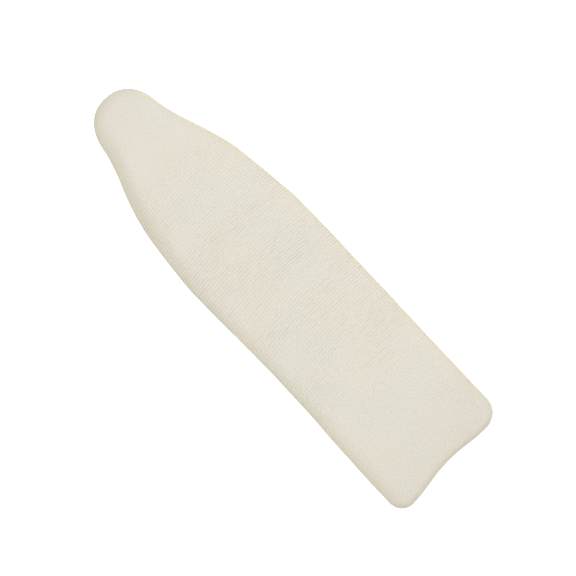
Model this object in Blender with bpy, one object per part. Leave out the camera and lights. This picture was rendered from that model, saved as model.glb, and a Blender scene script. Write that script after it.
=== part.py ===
"""Folding sleeve ironing board: a padded, cotton-covered nose board carried on two pairs of steel arms.

The deck stands on parallel arms over a smaller wooden base. At rest the arms lean back on their
stops; swung forward, they lay the deck down flat over the base. Metres, +Z up, +X towards the nose.
"""

import math

import bmesh
import bpy
from mathutils import Matrix, Vector

# ---------------------------------------------------------------- driving dimensions
GAP = 0.0003  # between pieces that touch
RUN = 0.0003  # radial play of every pin and screw in its hole

BOARD_LENGTH = 0.508
BOARD_HALF_WIDTH = 0.0718
LEFT_CORNER = 0.017  # radii of the tail's corners
RIGHT_CORNER = 0.021
TAIL_DIP = 0.0045
TAIL_SKEW = 0.0028
WAIST = 0.0012
SWAY = 0.0012

FOOT_HEIGHT = 0.006
BASE_THICKNESS = 0.015
DECK_THICKNESS = 0.012
PAD_THICKNESS = 0.005
COVER_THICKNESS = 0.0014
COVER_ROUND = 0.0075  # radius of the cover's top edge
HEM_ROUND = 0.0025
HEM_WIDTH = 0.0155
ELASTIC_WIDTH = 0.006
ELASTIC_THICKNESS = 0.001
ELASTIC_MARGIN = 0.0015  # from the hem's folded edge to the elastic
DECK_SOFTENING = 0.001  # cut off the deck board's edges
BASE_SOFTENING = 0.003  # radius of the base board's edges

ARM_LENGTH = 0.076  # pivot to pivot
ARM_LEAN = math.radians(15)  # past upright, towards the tail
ARM_SPACING = 0.130
ARM_WIDTH = 0.018
ARM_THICKNESS = 0.003
UPPER_FRONT_X = -0.045  # the front arm's upper pivot

SHEET = 0.002  # thickness of the pressed steel
BEND_RADIUS = 0.0035  # outside its bends
PIVOT_OFFSET = 0.016  # from a bracket's mounting face to its pivot
FLANGE_DEPTH = 0.026
CHANNEL_HALF_WIDTH = 0.032
WASHER_OUTER = 0.0014  # thickness between channel and arm
WASHER_INNER = 0.0010  # thickness between arm and upper bracket

PIN_RADIUS = 0.003
RIVET_RADIUS = 0.0058  # of the pins' heads
LOWER_RIVET_HEIGHT = 0.0020
UPPER_RIVET_HEIGHT = 0.0012
ROD_RADIUS = 0.0025
ROD_HEAD_HEIGHT = 0.0011  # of the tie and stop rods' riveted ends
ROD_HEAD_CHAMFER = 0.0008
LOWER_WASHER_RADIUS = 0.0075
UPPER_WASHER_RADIUS = 0.0070
BOLT_HEAD_RADIUS = 0.0058  # across its corners
BOLT_HEAD_HEIGHT = 0.004
SCREW_RADIUS = 0.0019
SCREW_HEAD_RADIUS = 0.0036
SCREW_HEAD_HEIGHT = 0.0022
RECESS_DEPTH = 0.0014
ROUND_STEPS = 16
SMALL_STEPS = 10
ACROSS = 0.040  # past every flange, for what cuts right across the arms
SPARE = 0.005  # how far a cutter runs past what it cuts
SHARP_ANGLE = math.radians(35)

# ---------------------------------------------------------------- worked out from them
NOSE_X = BOARD_LENGTH / 2

BASE_BOTTOM = FOOT_HEIGHT + GAP
BASE_TOP = BASE_BOTTOM + BASE_THICKNESS
CHANNEL_BOTTOM = BASE_TOP + GAP
CHANNEL_FLOOR = CHANNEL_BOTTOM + SHEET
LOWER_PIVOT_Z = CHANNEL_BOTTOM + PIVOT_OFFSET
UPPER_PIVOT_Z = LOWER_PIVOT_Z + ARM_LENGTH * math.cos(ARM_LEAN)
BRACKET_TOP = UPPER_PIVOT_Z + PIVOT_OFFSET
DECK_BOTTOM = BRACKET_TOP + GAP
DECK_TOP = DECK_BOTTOM + DECK_THICKNESS
PAD_BOTTOM = DECK_TOP + GAP
PAD_TOP = PAD_BOTTOM + PAD_THICKNESS
COVER_TOP = PAD_TOP + GAP + COVER_THICKNESS
ELASTIC_TOP = DECK_BOTTOM - GAP
ELASTIC_BOTTOM = ELASTIC_TOP - ELASTIC_THICKNESS
HEM_TOP = ELASTIC_BOTTOM - GAP
COVER_BOTTOM = HEM_TOP - COVER_THICKNESS

UPPER_REAR_X = UPPER_FRONT_X - ARM_SPACING
LOWER_FRONT_X = UPPER_FRONT_X + ARM_LENGTH * math.sin(ARM_LEAN)
LOWER_REAR_X = LOWER_FRONT_X - ARM_SPACING

CHANNEL_INSIDE = CHANNEL_HALF_WIDTH - SHEET
ARM_OUTSIDE = CHANNEL_INSIDE - WASHER_OUTER - 2 * GAP
ARM_INSIDE = ARM_OUTSIDE - ARM_THICKNESS
BRACKET_HALF_WIDTH = ARM_INSIDE - WASHER_INNER - 2 * GAP

PINS = {"front": (LOWER_FRONT_X, UPPER_FRONT_X), "rear": (LOWER_REAR_X, UPPER_REAR_X)}


# ---------------------------------------------------------------- scene and materials
def clear_scene():
    for obj in list(bpy.data.objects):
        bpy.data.objects.remove(obj)


def make_material(name, colour, roughness, metallic=0.0):
    material = bpy.data.materials.new(name)
    material.use_nodes = True
    shader = material.node_tree.nodes["Principled BSDF"]
    shader.inputs["Base Color"].default_value = (*colour, 1.0)
    shader.inputs["Roughness"].default_value = roughness
    shader.inputs["Metallic"].default_value = metallic
    material.diffuse_color = (*colour, 1.0)
    return material


def make_materials():
    return {
        "cotton": make_material("cotton", (0.79, 0.75, 0.66), 0.95),
        "felt": make_material("felt", (0.72, 0.71, 0.68), 1.0),
        "elastic": make_material("elastic", (0.86, 0.85, 0.82), 0.9),
        "wood": make_material("wood", (0.66, 0.47, 0.28), 0.5),
        "steel": make_material("steel", (0.62, 0.63, 0.64), 0.35, 1.0),
        "rubber": make_material("rubber", (0.04, 0.04, 0.04), 0.8),
        "plastic": make_material("plastic", (0.06, 0.06, 0.065), 0.45),
        "nylon": make_material("nylon", (0.85, 0.85, 0.82), 0.4),
        "brass": make_material("brass", (0.72, 0.56, 0.28), 0.3, 1.0),
    }


# ---------------------------------------------------------------- mesh helpers
def add_object(name, bm, material=None, parent=None):
    """A mesh object from bm, with its faces pointing out and its flat faces kept flat."""
    bmesh.ops.recalc_face_normals(bm, faces=bm.faces)
    mesh = bpy.data.meshes.new(name)
    bm.to_mesh(mesh)
    bm.free()
    mesh.shade_smooth()
    mesh.set_sharp_from_angle(angle=SHARP_ANGLE)
    obj = bpy.data.objects.new(name, mesh)
    bpy.context.scene.collection.objects.link(obj)
    if material is not None:
        mesh.materials.append(material)
    if parent is not None:
        obj.parent = parent
    return obj


def add_empty(name, location, lean=0.0, parent=None):
    """A pivot: its origin lies on a joint's axis, which runs along its Y."""
    empty = bpy.data.objects.new(name, None)
    bpy.context.scene.collection.objects.link(empty)
    empty.parent = parent
    empty.location = location
    empty.rotation_euler = (0.0, lean, 0.0)
    return empty


def loft(loops):
    """One closed body through loops with the same number of points, capped at both ends."""
    bm = bmesh.new()
    rings = [[bm.verts.new(point) for point in loop] for loop in loops]
    count = len(rings[0])
    for lower, upper in zip(rings, rings[1:]):
        for i in range(count):
            j = (i + 1) % count
            bm.faces.new((lower[i], lower[j], upper[j], upper[i]))
    bm.faces.new(rings[0])
    bm.faces.new(rings[-1])
    return bm


def turned(profile, steps=ROUND_STEPS, closed=False):
    """A body turned about Y. The profile's points are (radius, y); an open one ends on the axis."""
    bm = bmesh.new()
    points = [bm.verts.new((radius, y, 0.0)) for radius, y in profile]
    edges = [bm.edges.new(pair) for pair in zip(points, points[1:])]
    if closed:
        edges.append(bm.edges.new((points[-1], points[0])))
    bmesh.ops.spin(
        bm,
        geom=points + edges,
        cent=(0.0, 0.0, 0.0),
        axis=(0.0, 1.0, 0.0),
        angle=math.tau,
        steps=steps,
        use_merge=True,
    )
    bmesh.ops.remove_doubles(bm, verts=bm.verts, dist=1e-6)
    return bm


def prism(points, push):
    """A flat loop of points, pushed along a vector into a closed body."""
    bm = bmesh.new()
    face = bm.faces.new([bm.verts.new(point) for point in points])
    pushed = bmesh.ops.extrude_face_region(bm, geom=[face])
    moved = [item for item in pushed["geom"] if isinstance(item, bmesh.types.BMVert)]
    bmesh.ops.translate(bm, verts=moved, vec=push)
    return bm


def plate(outline, low, high):
    """The outline's (x, z) points as a plate from y = low to y = high."""
    return prism([(x, low, z) for x, z in outline], (0.0, high - low, 0.0))


def trough(half_width, height, mount_z, upward, low, high):
    """A sheet-metal U from x = low to x = high, bent round off its floor at z = mount_z."""
    inner = BEND_RADIUS - SHEET
    middle = half_width - BEND_RADIUS
    outside = arc((-middle, BEND_RADIUS), BEND_RADIUS, 180, 270, 3)
    outside += arc((middle, BEND_RADIUS), BEND_RADIUS, 270, 360, 3)
    inside = arc((middle, BEND_RADIUS), inner, 360, 270, 3)
    inside += arc((-middle, BEND_RADIUS), inner, 270, 180, 3)
    section = [(-half_width, height), *outside, (half_width, height)]
    section += [(half_width - SHEET, height), *inside, (SHEET - half_width, height)]
    points = [(low, y, mount_z + (z if upward else -z)) for y, z in section]
    return prism(points, (high - low, 0.0, 0.0))


def rods(places, radius, low, high, axis="Y", steps=ROUND_STEPS):
    """Separate cylinders in one mesh, for cutting holes: each place is its centre in the other two axes."""
    bm = bmesh.new()
    middle = (low + high) / 2
    for first, second in places:
        if axis == "Y":
            matrix = Matrix.Translation((first, middle, second))
            matrix = matrix @ Matrix.Rotation(math.pi / 2, 4, "X")
        else:
            matrix = Matrix.Translation((first, second, middle))
        bmesh.ops.create_cone(
            bm,
            cap_ends=True,
            segments=steps,
            radius1=radius,
            radius2=radius,
            depth=high - low,
            matrix=matrix,
        )
    return bm


def helper(name, bm, parent=None):
    """A shape that only cuts or joins, and isn't a part."""
    obj = add_object(name, bm, parent=parent)
    obj.hide_render = True
    obj.display_type = "WIRE"
    return obj


def combine(obj, other, operation="DIFFERENCE"):
    modifier = obj.modifiers.new(other.name, "BOOLEAN")
    modifier.operation = operation
    modifier.solver = "EXACT"
    modifier.object = other


def settle(obj):
    """Applies an object's cuts, and keeps its flat faces flat beside the new edges."""
    depsgraph = bpy.context.evaluated_depsgraph_get()
    mesh = bpy.data.meshes.new_from_object(obj.evaluated_get(depsgraph))
    obj.modifiers.clear()
    obj.data = mesh
    mesh.set_sharp_from_angle(angle=SHARP_ANGLE)


def settle_all():
    """Settles every piece that has cuts, then clears the shapes that made them."""
    for obj in list(bpy.data.objects):
        if obj.modifiers:
            settle(obj)
    for obj in list(bpy.data.objects):
        if obj.hide_render:
            bpy.data.objects.remove(obj)


def arc(centre, radius, start, end, steps):
    """Points of a circular arc in its plane, both ends included; angles in degrees."""
    angles = [math.radians(start + (end - start) * i / steps) for i in range(steps + 1)]
    return [
        (centre[0] + radius * math.cos(a), centre[1] + radius * math.sin(a)) for a in angles
    ]


# ---------------------------------------------------------------- board outlines
# As fractions of the board's length and half-width: the nose is part of a superellipse, and the
# shoulder runs through these points to the full width.
NOSE_LENGTH = 0.097
NOSE_WIDTH = 0.515
NOSE_ANGLE = 75
NOSE_POWER = 2.3
SKEW_START = 0.8  # of the length
SHOULDER = [(0.091, 0.531), (0.125, 0.603), (0.180, 0.742), (0.235, 0.852), (0.300, 0.924)]
SHOULDER_END = (0.400, 0.993)
SWAY_WAVE = 0.79  # of the length


def smooth_curve(points, steps):
    """A Catmull-Rom curve from the second point to the last but one."""
    curve = [points[1]]
    for a, b, c, d in zip(points, points[1:], points[2:], points[3:]):
        for i in range(1, steps + 1):
            t = i / steps
            weights = (
                (-t + 2 * t**2 - t**3) / 2,
                (2 - 5 * t**2 + 3 * t**3) / 2,
                (t + 4 * t**2 - 3 * t**3) / 2,
                (-(t**2) + t**3) / 2,
            )
            curve.append(
                tuple(sum(w * p[axis] for w, p in zip(weights, (a, b, c, d))) for axis in (0, 1))
            )
    return curve


def half_outline(length, half_width, corner, dip, waist):
    """Half a board's edge from nose tip to mid tail, as (distance from the tip, half-width)."""
    nose_steps, side_steps, corner_steps, tail_steps = 8, 4, 4, 5
    nose = []
    for i in range(nose_steps + 1):
        angle = math.radians(NOSE_ANGLE) * i / nose_steps
        distance = NOSE_LENGTH * (1 - math.cos(angle) ** (2 / NOSE_POWER))
        nose.append((distance, NOSE_WIDTH * math.sin(angle) ** (2 / NOSE_POWER)))
    side_start = (SHOULDER_END[0] + 0.1, 1.0)
    guides = [nose[-2], nose[-1], *SHOULDER, SHOULDER_END, side_start]
    points = [(d * length, w * half_width) for d, w in nose[:-1] + smooth_curve(guides, 2)]
    start = points[-1]
    side_length = length - corner - start[0]
    for i in range(1, side_steps + 1):
        u = i / side_steps
        drawn_in = waist * math.sin(u * math.pi) ** 2
        width = start[1] + (half_width - start[1]) * u - drawn_in
        points.append((start[0] + u * side_length, width))
    centre = (length - corner, half_width - corner)
    points += arc(centre, corner, 90, 0, corner_steps)[1:]
    for i in range(1, tail_steps + 1):
        width = (half_width - corner) * (1 - i / tail_steps)
        hollow = dip * math.sin(i / tail_steps * math.pi / 2) ** 2
        points.append((length - hollow, width))
    return points


def board_outline(nose_x, length, half_width, corners, dip=0.0, waist=0.0, skew=0.0, sway=0.0):
    """The whole edge as (x, y) points, anticlockwise from the nose tip.

    corners are the radii of the tail's left and right corners. skew pushes the left one back and
    the right one forward, and sway bends the board's centreline to and fro. The outline then
    keeps its length, centred across.
    """
    left, right = (half_outline(length, half_width, corner, dip, waist) for corner in corners)
    around = left + [(distance, -width) for distance, width in reversed(right[1:-1])]
    moved = []
    for distance, y in around:
        near_tail = max(distance / length - SKEW_START, 0.0) / (1 - SKEW_START)
        side = y / half_width
        bend = sway * math.sin(math.tau * distance / (SWAY_WAVE * length))
        moved.append((distance + skew * side * near_tail**2, y + bend))
    stretch = length / max(distance for distance, _ in moved)
    middle = (max(y for _, y in moved) + min(y for _, y in moved)) / 2
    return [(nose_x - distance * stretch, y - middle) for distance, y in moved]


def inset(outline, distance):
    """The outline moved inwards by distance, point by point along its own normals."""
    moved = []
    count = len(outline)
    for i, (x, y) in enumerate(outline):
        before, after = Vector(outline[i - 1]), Vector(outline[(i + 1) % count])
        along = (after - before).normalized()
        moved.append((x - along.y * distance, y + along.x * distance))
    return moved


def ring(outline, distance, z):
    return [(x, y, z) for x, y in inset(outline, distance)]


DECK_EDGE = board_outline(
    NOSE_X,
    BOARD_LENGTH,
    BOARD_HALF_WIDTH,
    (LEFT_CORNER, RIGHT_CORNER),
    TAIL_DIP,
    WAIST,
    TAIL_SKEW,
    SWAY,
)

BASE_LENGTH = 0.400
BASE_NOSE_X = 0.192
BASE_HALF_WIDTH = 0.057
BASE_CORNER = 0.020
BASE_EDGE = board_outline(BASE_NOSE_X, BASE_LENGTH, BASE_HALF_WIDTH, (BASE_CORNER, BASE_CORNER))


# ---------------------------------------------------------------- deck: board, pad, cover
def rounded(radius, edge, top, steps=3):
    """(inset, z) from a flat top, round its edge and down; edge is the inset of the side."""
    return arc((edge + radius, top - radius), radius, 90, 180, steps)


def make_cover(material, pivot):
    """The cotton shell: a top, a side and a hem turned in under the deck, open below."""
    inner_round = COVER_ROUND - COVER_THICKNESS
    inner_top = COVER_TOP - COVER_THICKNESS
    outside = rounded(COVER_ROUND, 0.0, COVER_TOP)
    outside += arc((HEM_ROUND, COVER_BOTTOM + HEM_ROUND), HEM_ROUND, 180, 270, 2)
    outside.append((HEM_WIDTH, COVER_BOTTOM))
    inside = [(HEM_WIDTH, HEM_TOP), (COVER_THICKNESS, HEM_TOP)]
    inside += reversed(rounded(inner_round, COVER_THICKNESS, inner_top))
    bm = loft([ring(DECK_EDGE, distance, z) for distance, z in outside + inside])
    return place(add_object("cover", bm, material, pivot))


def make_pad(material, pivot):
    edge = COVER_THICKNESS + GAP
    curve = rounded(COVER_ROUND - edge - GAP, edge, PAD_TOP)
    profile = [(distance, z) for distance, z in curve if z > PAD_BOTTOM]
    profile.append((edge, PAD_BOTTOM))
    bm = loft([ring(DECK_EDGE, distance, z) for distance, z in profile])
    return place(add_object("felt_pad", bm, material, pivot))


def make_elastic(material, pivot):
    inner = HEM_WIDTH - ELASTIC_MARGIN
    outer = inner - ELASTIC_WIDTH
    corners = [
        (outer, ELASTIC_TOP),
        (outer, ELASTIC_BOTTOM),
        (inner, ELASTIC_BOTTOM),
        (inner, ELASTIC_TOP),
    ]
    bm = bmesh.new()
    rings = [[bm.verts.new(p) for p in ring(DECK_EDGE, *corner)] for corner in corners]
    count = len(rings[0])
    for a, b in zip(rings, rings[1:] + rings[:1]):
        for i in range(count):
            j = (i + 1) % count
            bm.faces.new((a[i], a[j], b[j], b[i]))
    return place(add_object("hem_elastic", bm, material, pivot))


def make_deck_board(material, pivot):
    edge = COVER_THICKNESS + GAP
    profile = [
        (edge + DECK_SOFTENING, DECK_TOP),
        (edge, DECK_TOP - DECK_SOFTENING),
        (edge, DECK_BOTTOM + DECK_SOFTENING),
        (edge + DECK_SOFTENING, DECK_BOTTOM),
    ]
    bm = loft([ring(DECK_EDGE, distance, z) for distance, z in profile])
    board = place(add_object("deck_board", bm, material, pivot))
    places = [
        (x + dx, dy)
        for x in (UPPER_FRONT_X, UPPER_REAR_X)
        for dx, dy in BRACKET_SCREWS
    ]
    holes = rods(
        places,
        SCREW_RADIUS + RUN,
        DECK_BOTTOM - 0.002,
        DECK_BOTTOM + BRACKET_SCREW_LENGTH - SHEET,
        "Z",
        SMALL_STEPS,
    )
    combine(board, place(helper("deck_pilot_holes", holes, pivot)))
    return board


# ---------------------------------------------------------------- brackets and channel
BRACKET_HALF_LENGTH = 0.020
BRACKET_SCREWS = [(dx, dy) for dx in (-0.013, 0.013) for dy in (-0.013, 0.013)]
BRACKET_SCREW_LENGTH = 0.011
CHANNEL_REAR = LOWER_REAR_X - 0.023
CHANNEL_FRONT = LOWER_FRONT_X + 0.048
CHANNEL_LOW_FLANGE = 0.012
CHANNEL_SCREWS = [(x, y) for x in (-0.168, -0.070, 0.016) for y in (-0.018, 0.018)]
CHANNEL_SCREW_LENGTH = 0.011
EAR_RADIUS = 0.010
EAR_BACK = 0.020  # from a pivot back to the end of its ear, past the stop rod
SLEEVE_RADIUS = 0.0042
STOP_ALONG = 0.006  # from the pivot along the leaning arm to the stop

along_arm = Vector((-math.sin(ARM_LEAN), math.cos(ARM_LEAN)))
behind_arm = Vector((-math.cos(ARM_LEAN), -math.sin(ARM_LEAN)))
STOP_OFFSET = along_arm * STOP_ALONG + behind_arm * (ARM_WIDTH / 2 + SLEEVE_RADIUS + GAP)


def bracket_flange():
    """A flange's outline below its mounting face: straight sides drawn in to a round end."""
    low = arc((0.0, -PIVOT_OFFSET), EAR_RADIUS, 190, 350, 8)
    shoulder = SHEET + 0.003
    half = BRACKET_HALF_LENGTH
    return [(half, SPARE), (-half, SPARE), (-half, -shoulder), *low, (half, -shoulder)]


def make_upper_bracket(name, x, material, pivot):
    """A pressed-steel U: a plate screwed under the deck and two flanges for the pivot."""
    reach = BRACKET_HALF_LENGTH + SPARE
    depth = PIVOT_OFFSET + EAR_RADIUS + SPARE
    bent = trough(BRACKET_HALF_WIDTH, depth, BRACKET_TOP, False, x - reach, x + reach)
    bracket = place(add_object(name, bent, material, pivot))
    outline = [(px + x, pz + BRACKET_TOP) for px, pz in bracket_flange()]
    side_view = helper(name + "_side_view", plate(outline, -ACROSS, ACROSS), pivot)
    combine(bracket, place(side_view), "INTERSECT")
    pin_hole = rods([(x, UPPER_PIVOT_Z)], PIN_RADIUS + RUN, -ACROSS, ACROSS)
    combine(bracket, place(helper(name + "_pin_hole", pin_hole, pivot)))
    places = [(x + dx, dy) for dx, dy in BRACKET_SCREWS]
    low, high = BRACKET_TOP - SHEET - SPARE, BRACKET_TOP + SPARE
    screw_holes = rods(places, SCREW_RADIUS + RUN, low, high, "Z", SMALL_STEPS)
    combine(bracket, place(helper(name + "_screw_holes", screw_holes, pivot)))
    return bracket


def channel_flange():
    """A flange's outline above the base: an ear round each pivot and its stop, low between them."""
    bottom, low = CHANNEL_BOTTOM - SPARE, CHANNEL_BOTTOM + CHANNEL_LOW_FLANGE
    top = CHANNEL_BOTTOM + FLANGE_DEPTH
    points = [(CHANNEL_FRONT, bottom), (CHANNEL_FRONT, low - 0.002), (CHANNEL_FRONT - 0.002, low)]
    for x in (LOWER_FRONT_X, LOWER_REAR_X):
        points.append((x + EAR_RADIUS + 0.006, low))
        points += arc((x, LOWER_PIVOT_Z), EAR_RADIUS, 20, 90, 4)
        points += arc((x - EAR_BACK + 0.006, top - 0.006), 0.006, 90, 180, 3)
        if x == LOWER_FRONT_X:
            points.append((x - EAR_BACK, low + 0.004))
            points.append((x - EAR_BACK - 0.004, low))
    points.append((CHANNEL_REAR, top - 0.006))
    points.append((CHANNEL_REAR, bottom))
    return points


def make_channel(material):
    """The base channel: one pressed-steel U that carries both pairs of arms."""
    reach = (CHANNEL_REAR - SPARE, CHANNEL_FRONT + SPARE)
    bent = trough(CHANNEL_HALF_WIDTH, FLANGE_DEPTH + SPARE, CHANNEL_BOTTOM, True, *reach)
    channel = add_object("base_channel", bent, material)
    side_view = helper("channel_side_view", plate(channel_flange(), -ACROSS, ACROSS))
    combine(channel, side_view, "INTERSECT")
    pins = [(x, LOWER_PIVOT_Z) for x, _ in PINS.values()]
    pin_holes = rods(pins, PIN_RADIUS + RUN, -ACROSS, ACROSS)
    combine(channel, helper("channel_pin_holes", pin_holes))
    stops = [stop_place(x) for x, _ in PINS.values()]
    stop_holes = rods(stops, ROD_RADIUS + RUN, -ACROSS, ACROSS)
    combine(channel, helper("channel_stop_holes", stop_holes))
    low, high = CHANNEL_BOTTOM - SPARE, CHANNEL_FLOOR + SPARE
    screws = rods(CHANNEL_SCREWS, SCREW_RADIUS + RUN, low, high, "Z", SMALL_STEPS)
    combine(channel, helper("channel_screw_holes", screws))
    stems = rods(
        [(buffer_x(x), 0.0) for x, _ in PINS.values()], BUFFER_STEM + RUN, low, high, "Z"
    )
    combine(channel, helper("channel_buffer_holes", stems))
    return channel


def stop_place(lower_x):
    return lower_x + STOP_OFFSET.x, LOWER_PIVOT_Z + STOP_OFFSET.y


# ---------------------------------------------------------------- base board
FEET = [(-0.180, 0.042), (-0.180, -0.042), (0.140, 0.023), (0.140, -0.023)]
FOOT_RADIUS = 0.0095
FOOT_SEAT = 0.003  # height of the seat for the screw's head inside the foot
FOOT_SCREW_LENGTH = 0.012


def make_base_board(material):
    profile = rounded(BASE_SOFTENING, 0.0, BASE_TOP)
    profile += arc((BASE_SOFTENING, BASE_BOTTOM + BASE_SOFTENING), BASE_SOFTENING, 180, 270, 2)
    bm = loft([ring(BASE_EDGE, distance, z) for distance, z in profile])
    board = add_object("base_board", bm, material)
    radius = SCREW_RADIUS + RUN
    top_low = BASE_TOP + SHEET - CHANNEL_SCREW_LENGTH
    top_holes = rods(CHANNEL_SCREWS, radius, top_low, BASE_TOP + 0.002, "Z", SMALL_STEPS)
    combine(board, helper("base_pilot_holes", top_holes))
    foot_high = FOOT_SEAT + FOOT_SCREW_LENGTH + GAP
    foot_holes = rods(FEET, radius, BASE_BOTTOM - 0.002, foot_high, "Z", SMALL_STEPS)
    combine(board, helper("foot_pilot_holes", foot_holes))
    return board


def upright(bm):
    """A body turned about Y, stood up on Z."""
    bmesh.ops.transform(bm, matrix=Matrix.Rotation(math.pi / 2, 4, "X"), verts=bm.verts)
    return bm


def cross(reach, half_width):
    """A cross recess's outline, as (x, y) points."""
    corner = [(reach, -half_width), (reach, half_width), (half_width, half_width)]
    points = []
    for turn in range(4):
        spin = Matrix.Rotation(turn * math.pi / 2, 2)
        points += [tuple(spin @ Vector(point)) for point in corner]
    return points


def make_screw_mesh(length, material):
    """A pan-head wood screw with its seat at the origin and its shank along +Z."""
    head = SCREW_HEAD_HEIGHT
    profile = [
        (0.0, -head),
        (SCREW_HEAD_RADIUS * 0.62, -head),
        (SCREW_HEAD_RADIUS * 0.93, -head * 0.6),
        (SCREW_HEAD_RADIUS, 0.0),
        (SCREW_RADIUS, 0.0),
        (SCREW_RADIUS, length - 0.0025),
        (0.0, length),
    ]
    blank = add_object("screw_blank", upright(turned(profile, SMALL_STEPS)), material)
    outline = [(x, y, -head - SPARE) for x, y in cross(SCREW_HEAD_RADIUS * 0.52, 0.00045)]
    recess = helper("screw_recess", prism(outline, (0.0, 0.0, SPARE + RECESS_DEPTH)))
    combine(blank, recess)
    settle(blank)
    mesh = blank.data
    bpy.data.objects.remove(blank)
    bpy.data.objects.remove(recess)
    return mesh


def add_screw(name, mesh, location, parent=None):
    """One more screw of a kind, upright with its head down."""
    obj = bpy.data.objects.new(name, mesh)
    bpy.context.scene.collection.objects.link(obj)
    obj.parent = parent
    obj.location = location
    return obj


def make_feet(rubber, steel):
    inner, seat = SCREW_RADIUS + RUN, SCREW_HEAD_RADIUS + 0.001
    profile = [
        (inner, FOOT_SEAT),
        (seat, FOOT_SEAT),
        (seat, 0.0),
        (FOOT_RADIUS - 0.002, 0.0),
        (FOOT_RADIUS - 0.001, 0.0008),
        (FOOT_RADIUS, FOOT_HEIGHT - 0.0008),
        (FOOT_RADIUS - 0.0008, FOOT_HEIGHT),
        (inner, FOOT_HEIGHT),
    ]
    fixing = make_screw_mesh(FOOT_SCREW_LENGTH, steel)
    names = ("rear_left", "rear_right", "front_left", "front_right")
    for name, (x, y) in zip(names, FEET):
        foot = add_object("foot_" + name, upright(turned(profile, closed=True)), rubber)
        foot.location = (x, y, 0.0)
        add_screw("foot_screw_" + name, fixing, (x, y, FOOT_SEAT - GAP))


def make_channel_screws(material):
    mesh = make_screw_mesh(CHANNEL_SCREW_LENGTH, material)
    for i, (x, y) in enumerate(CHANNEL_SCREWS, 1):
        fixing = add_screw(f"channel_screw_{i}", mesh, (x, y, CHANNEL_FLOOR + GAP))
        fixing.rotation_euler = (math.pi, 0.0, 0.0)


# ---------------------------------------------------------------- stops and buffers
BUFFER_RADIUS = 0.006
BUFFER_STEM = 0.0025
TIE_RADIUS = 0.004  # of the tie rods between their shoulders, and of both kinds of rod's heads


def buffer_x(lower_x):
    """Where an arm's tie rod comes down when the arm lies flat."""
    return lower_x + ARM_LENGTH / 2


def make_buffer(name, lower_x, material):
    """A rubber buffer that the folded arm's tie rod rests on, pushed into the channel's floor."""
    top = LOWER_PIVOT_Z - TIE_RADIUS - GAP - CHANNEL_FLOOR - GAP
    profile = [
        (0.0, -SHEET),
        (BUFFER_STEM, -SHEET),
        (BUFFER_STEM, 0.0),
        (BUFFER_RADIUS, 0.0),
        (BUFFER_RADIUS - 0.0008, top - 0.0012),
        (BUFFER_RADIUS - 0.002, top),
        (0.0, top),
    ]
    body = add_object(name, upright(turned(profile)), material)
    body.location = (buffer_x(lower_x), 0.0, CHANNEL_FLOOR + GAP)


def make_stop(name, lower_x, steel, rubber):
    """A riveted cross rod in a rubber sleeve, which the leaning arm rests against."""
    x, z = stop_place(lower_x)
    face = CHANNEL_HALF_WIDTH + GAP
    half = [
        (ROD_RADIUS, face),
        (TIE_RADIUS, face),
        (TIE_RADIUS - ROD_HEAD_CHAMFER, face + ROD_HEAD_HEIGHT),
        (0.0, face + ROD_HEAD_HEIGHT),
    ]
    profile = [(radius, -y) for radius, y in reversed(half)] + half
    rod = add_object("stop_rod_" + name, turned(profile), steel)
    rod.location = (x, 0.0, z)
    reach = CHANNEL_INSIDE - GAP
    tube = [
        (ROD_RADIUS + RUN, -reach),
        (SLEEVE_RADIUS, -reach),
        (SLEEVE_RADIUS, reach),
        (ROD_RADIUS + RUN, reach),
    ]
    sleeve = add_object("stop_sleeve_" + name, turned(tube, closed=True), rubber)
    sleeve.location = (x, 0.0, z)


# ---------------------------------------------------------------- arms and pivots
def make_arm(name, pivot, steel):
    """Two flat bars and the tie rod that joins them, swinging about their lower pivot."""
    radius = ARM_WIDTH / 2
    outline = arc((0.0, 0.0), radius, 180, 360, 10)
    outline += arc((0.0, ARM_LENGTH), radius, 0, 180, 10)
    pins = rods([(0.0, 0.0), (0.0, ARM_LENGTH)], PIN_RADIUS + RUN, -ACROSS, ACROSS)
    pin_holes = helper(name + "_arm_pin_holes", pins, pivot)
    tie = rods([(0.0, ARM_LENGTH / 2)], ROD_RADIUS + RUN, -ACROSS, ACROSS)
    tie_hole = helper(name + "_arm_tie_hole", tie, pivot)
    for side, low in (("left", ARM_INSIDE), ("right", -ARM_OUTSIDE)):
        bm = plate(outline, low, low + ARM_THICKNESS)
        bar = add_object(f"{name}_arm_{side}", bm, steel, pivot)
        combine(bar, pin_holes)
        combine(bar, tie_hole)
    shoulder, face = ARM_INSIDE - GAP, ARM_OUTSIDE + GAP
    half = [
        (TIE_RADIUS, shoulder),
        (ROD_RADIUS, shoulder),
        (ROD_RADIUS, face),
        (TIE_RADIUS, face),
        (TIE_RADIUS - ROD_HEAD_CHAMFER, face + ROD_HEAD_HEIGHT),
        (0.0, face + ROD_HEAD_HEIGHT),
    ]
    profile = [(r, -y) for r, y in reversed(half)] + half
    rod = add_object(name + "_tie_rod", turned(profile), steel, pivot)
    rod.location = (0.0, 0.0, ARM_LENGTH / 2)


def rivet(name, face, height, material, parent=None):
    """A pivot pin along Y with a flat-domed head beyond each outer face."""
    half = [
        (PIN_RADIUS, face),
        (RIVET_RADIUS, face),
        (RIVET_RADIUS, face + height * 0.5),
        (RIVET_RADIUS - 0.0012, face + height),
        (0.0, face + height),
    ]
    profile = [(r, -y) for r, y in reversed(half)] + half
    return add_object(name, turned(profile), material, parent)


def washer(name, low, thickness, radius, material, parent=None):
    hole = PIN_RADIUS + RUN
    high = low + thickness
    profile = [(hole, low), (radius, low), (radius, high), (hole, high)]
    return add_object(name, turned(profile, closed=True), material, parent)


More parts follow.
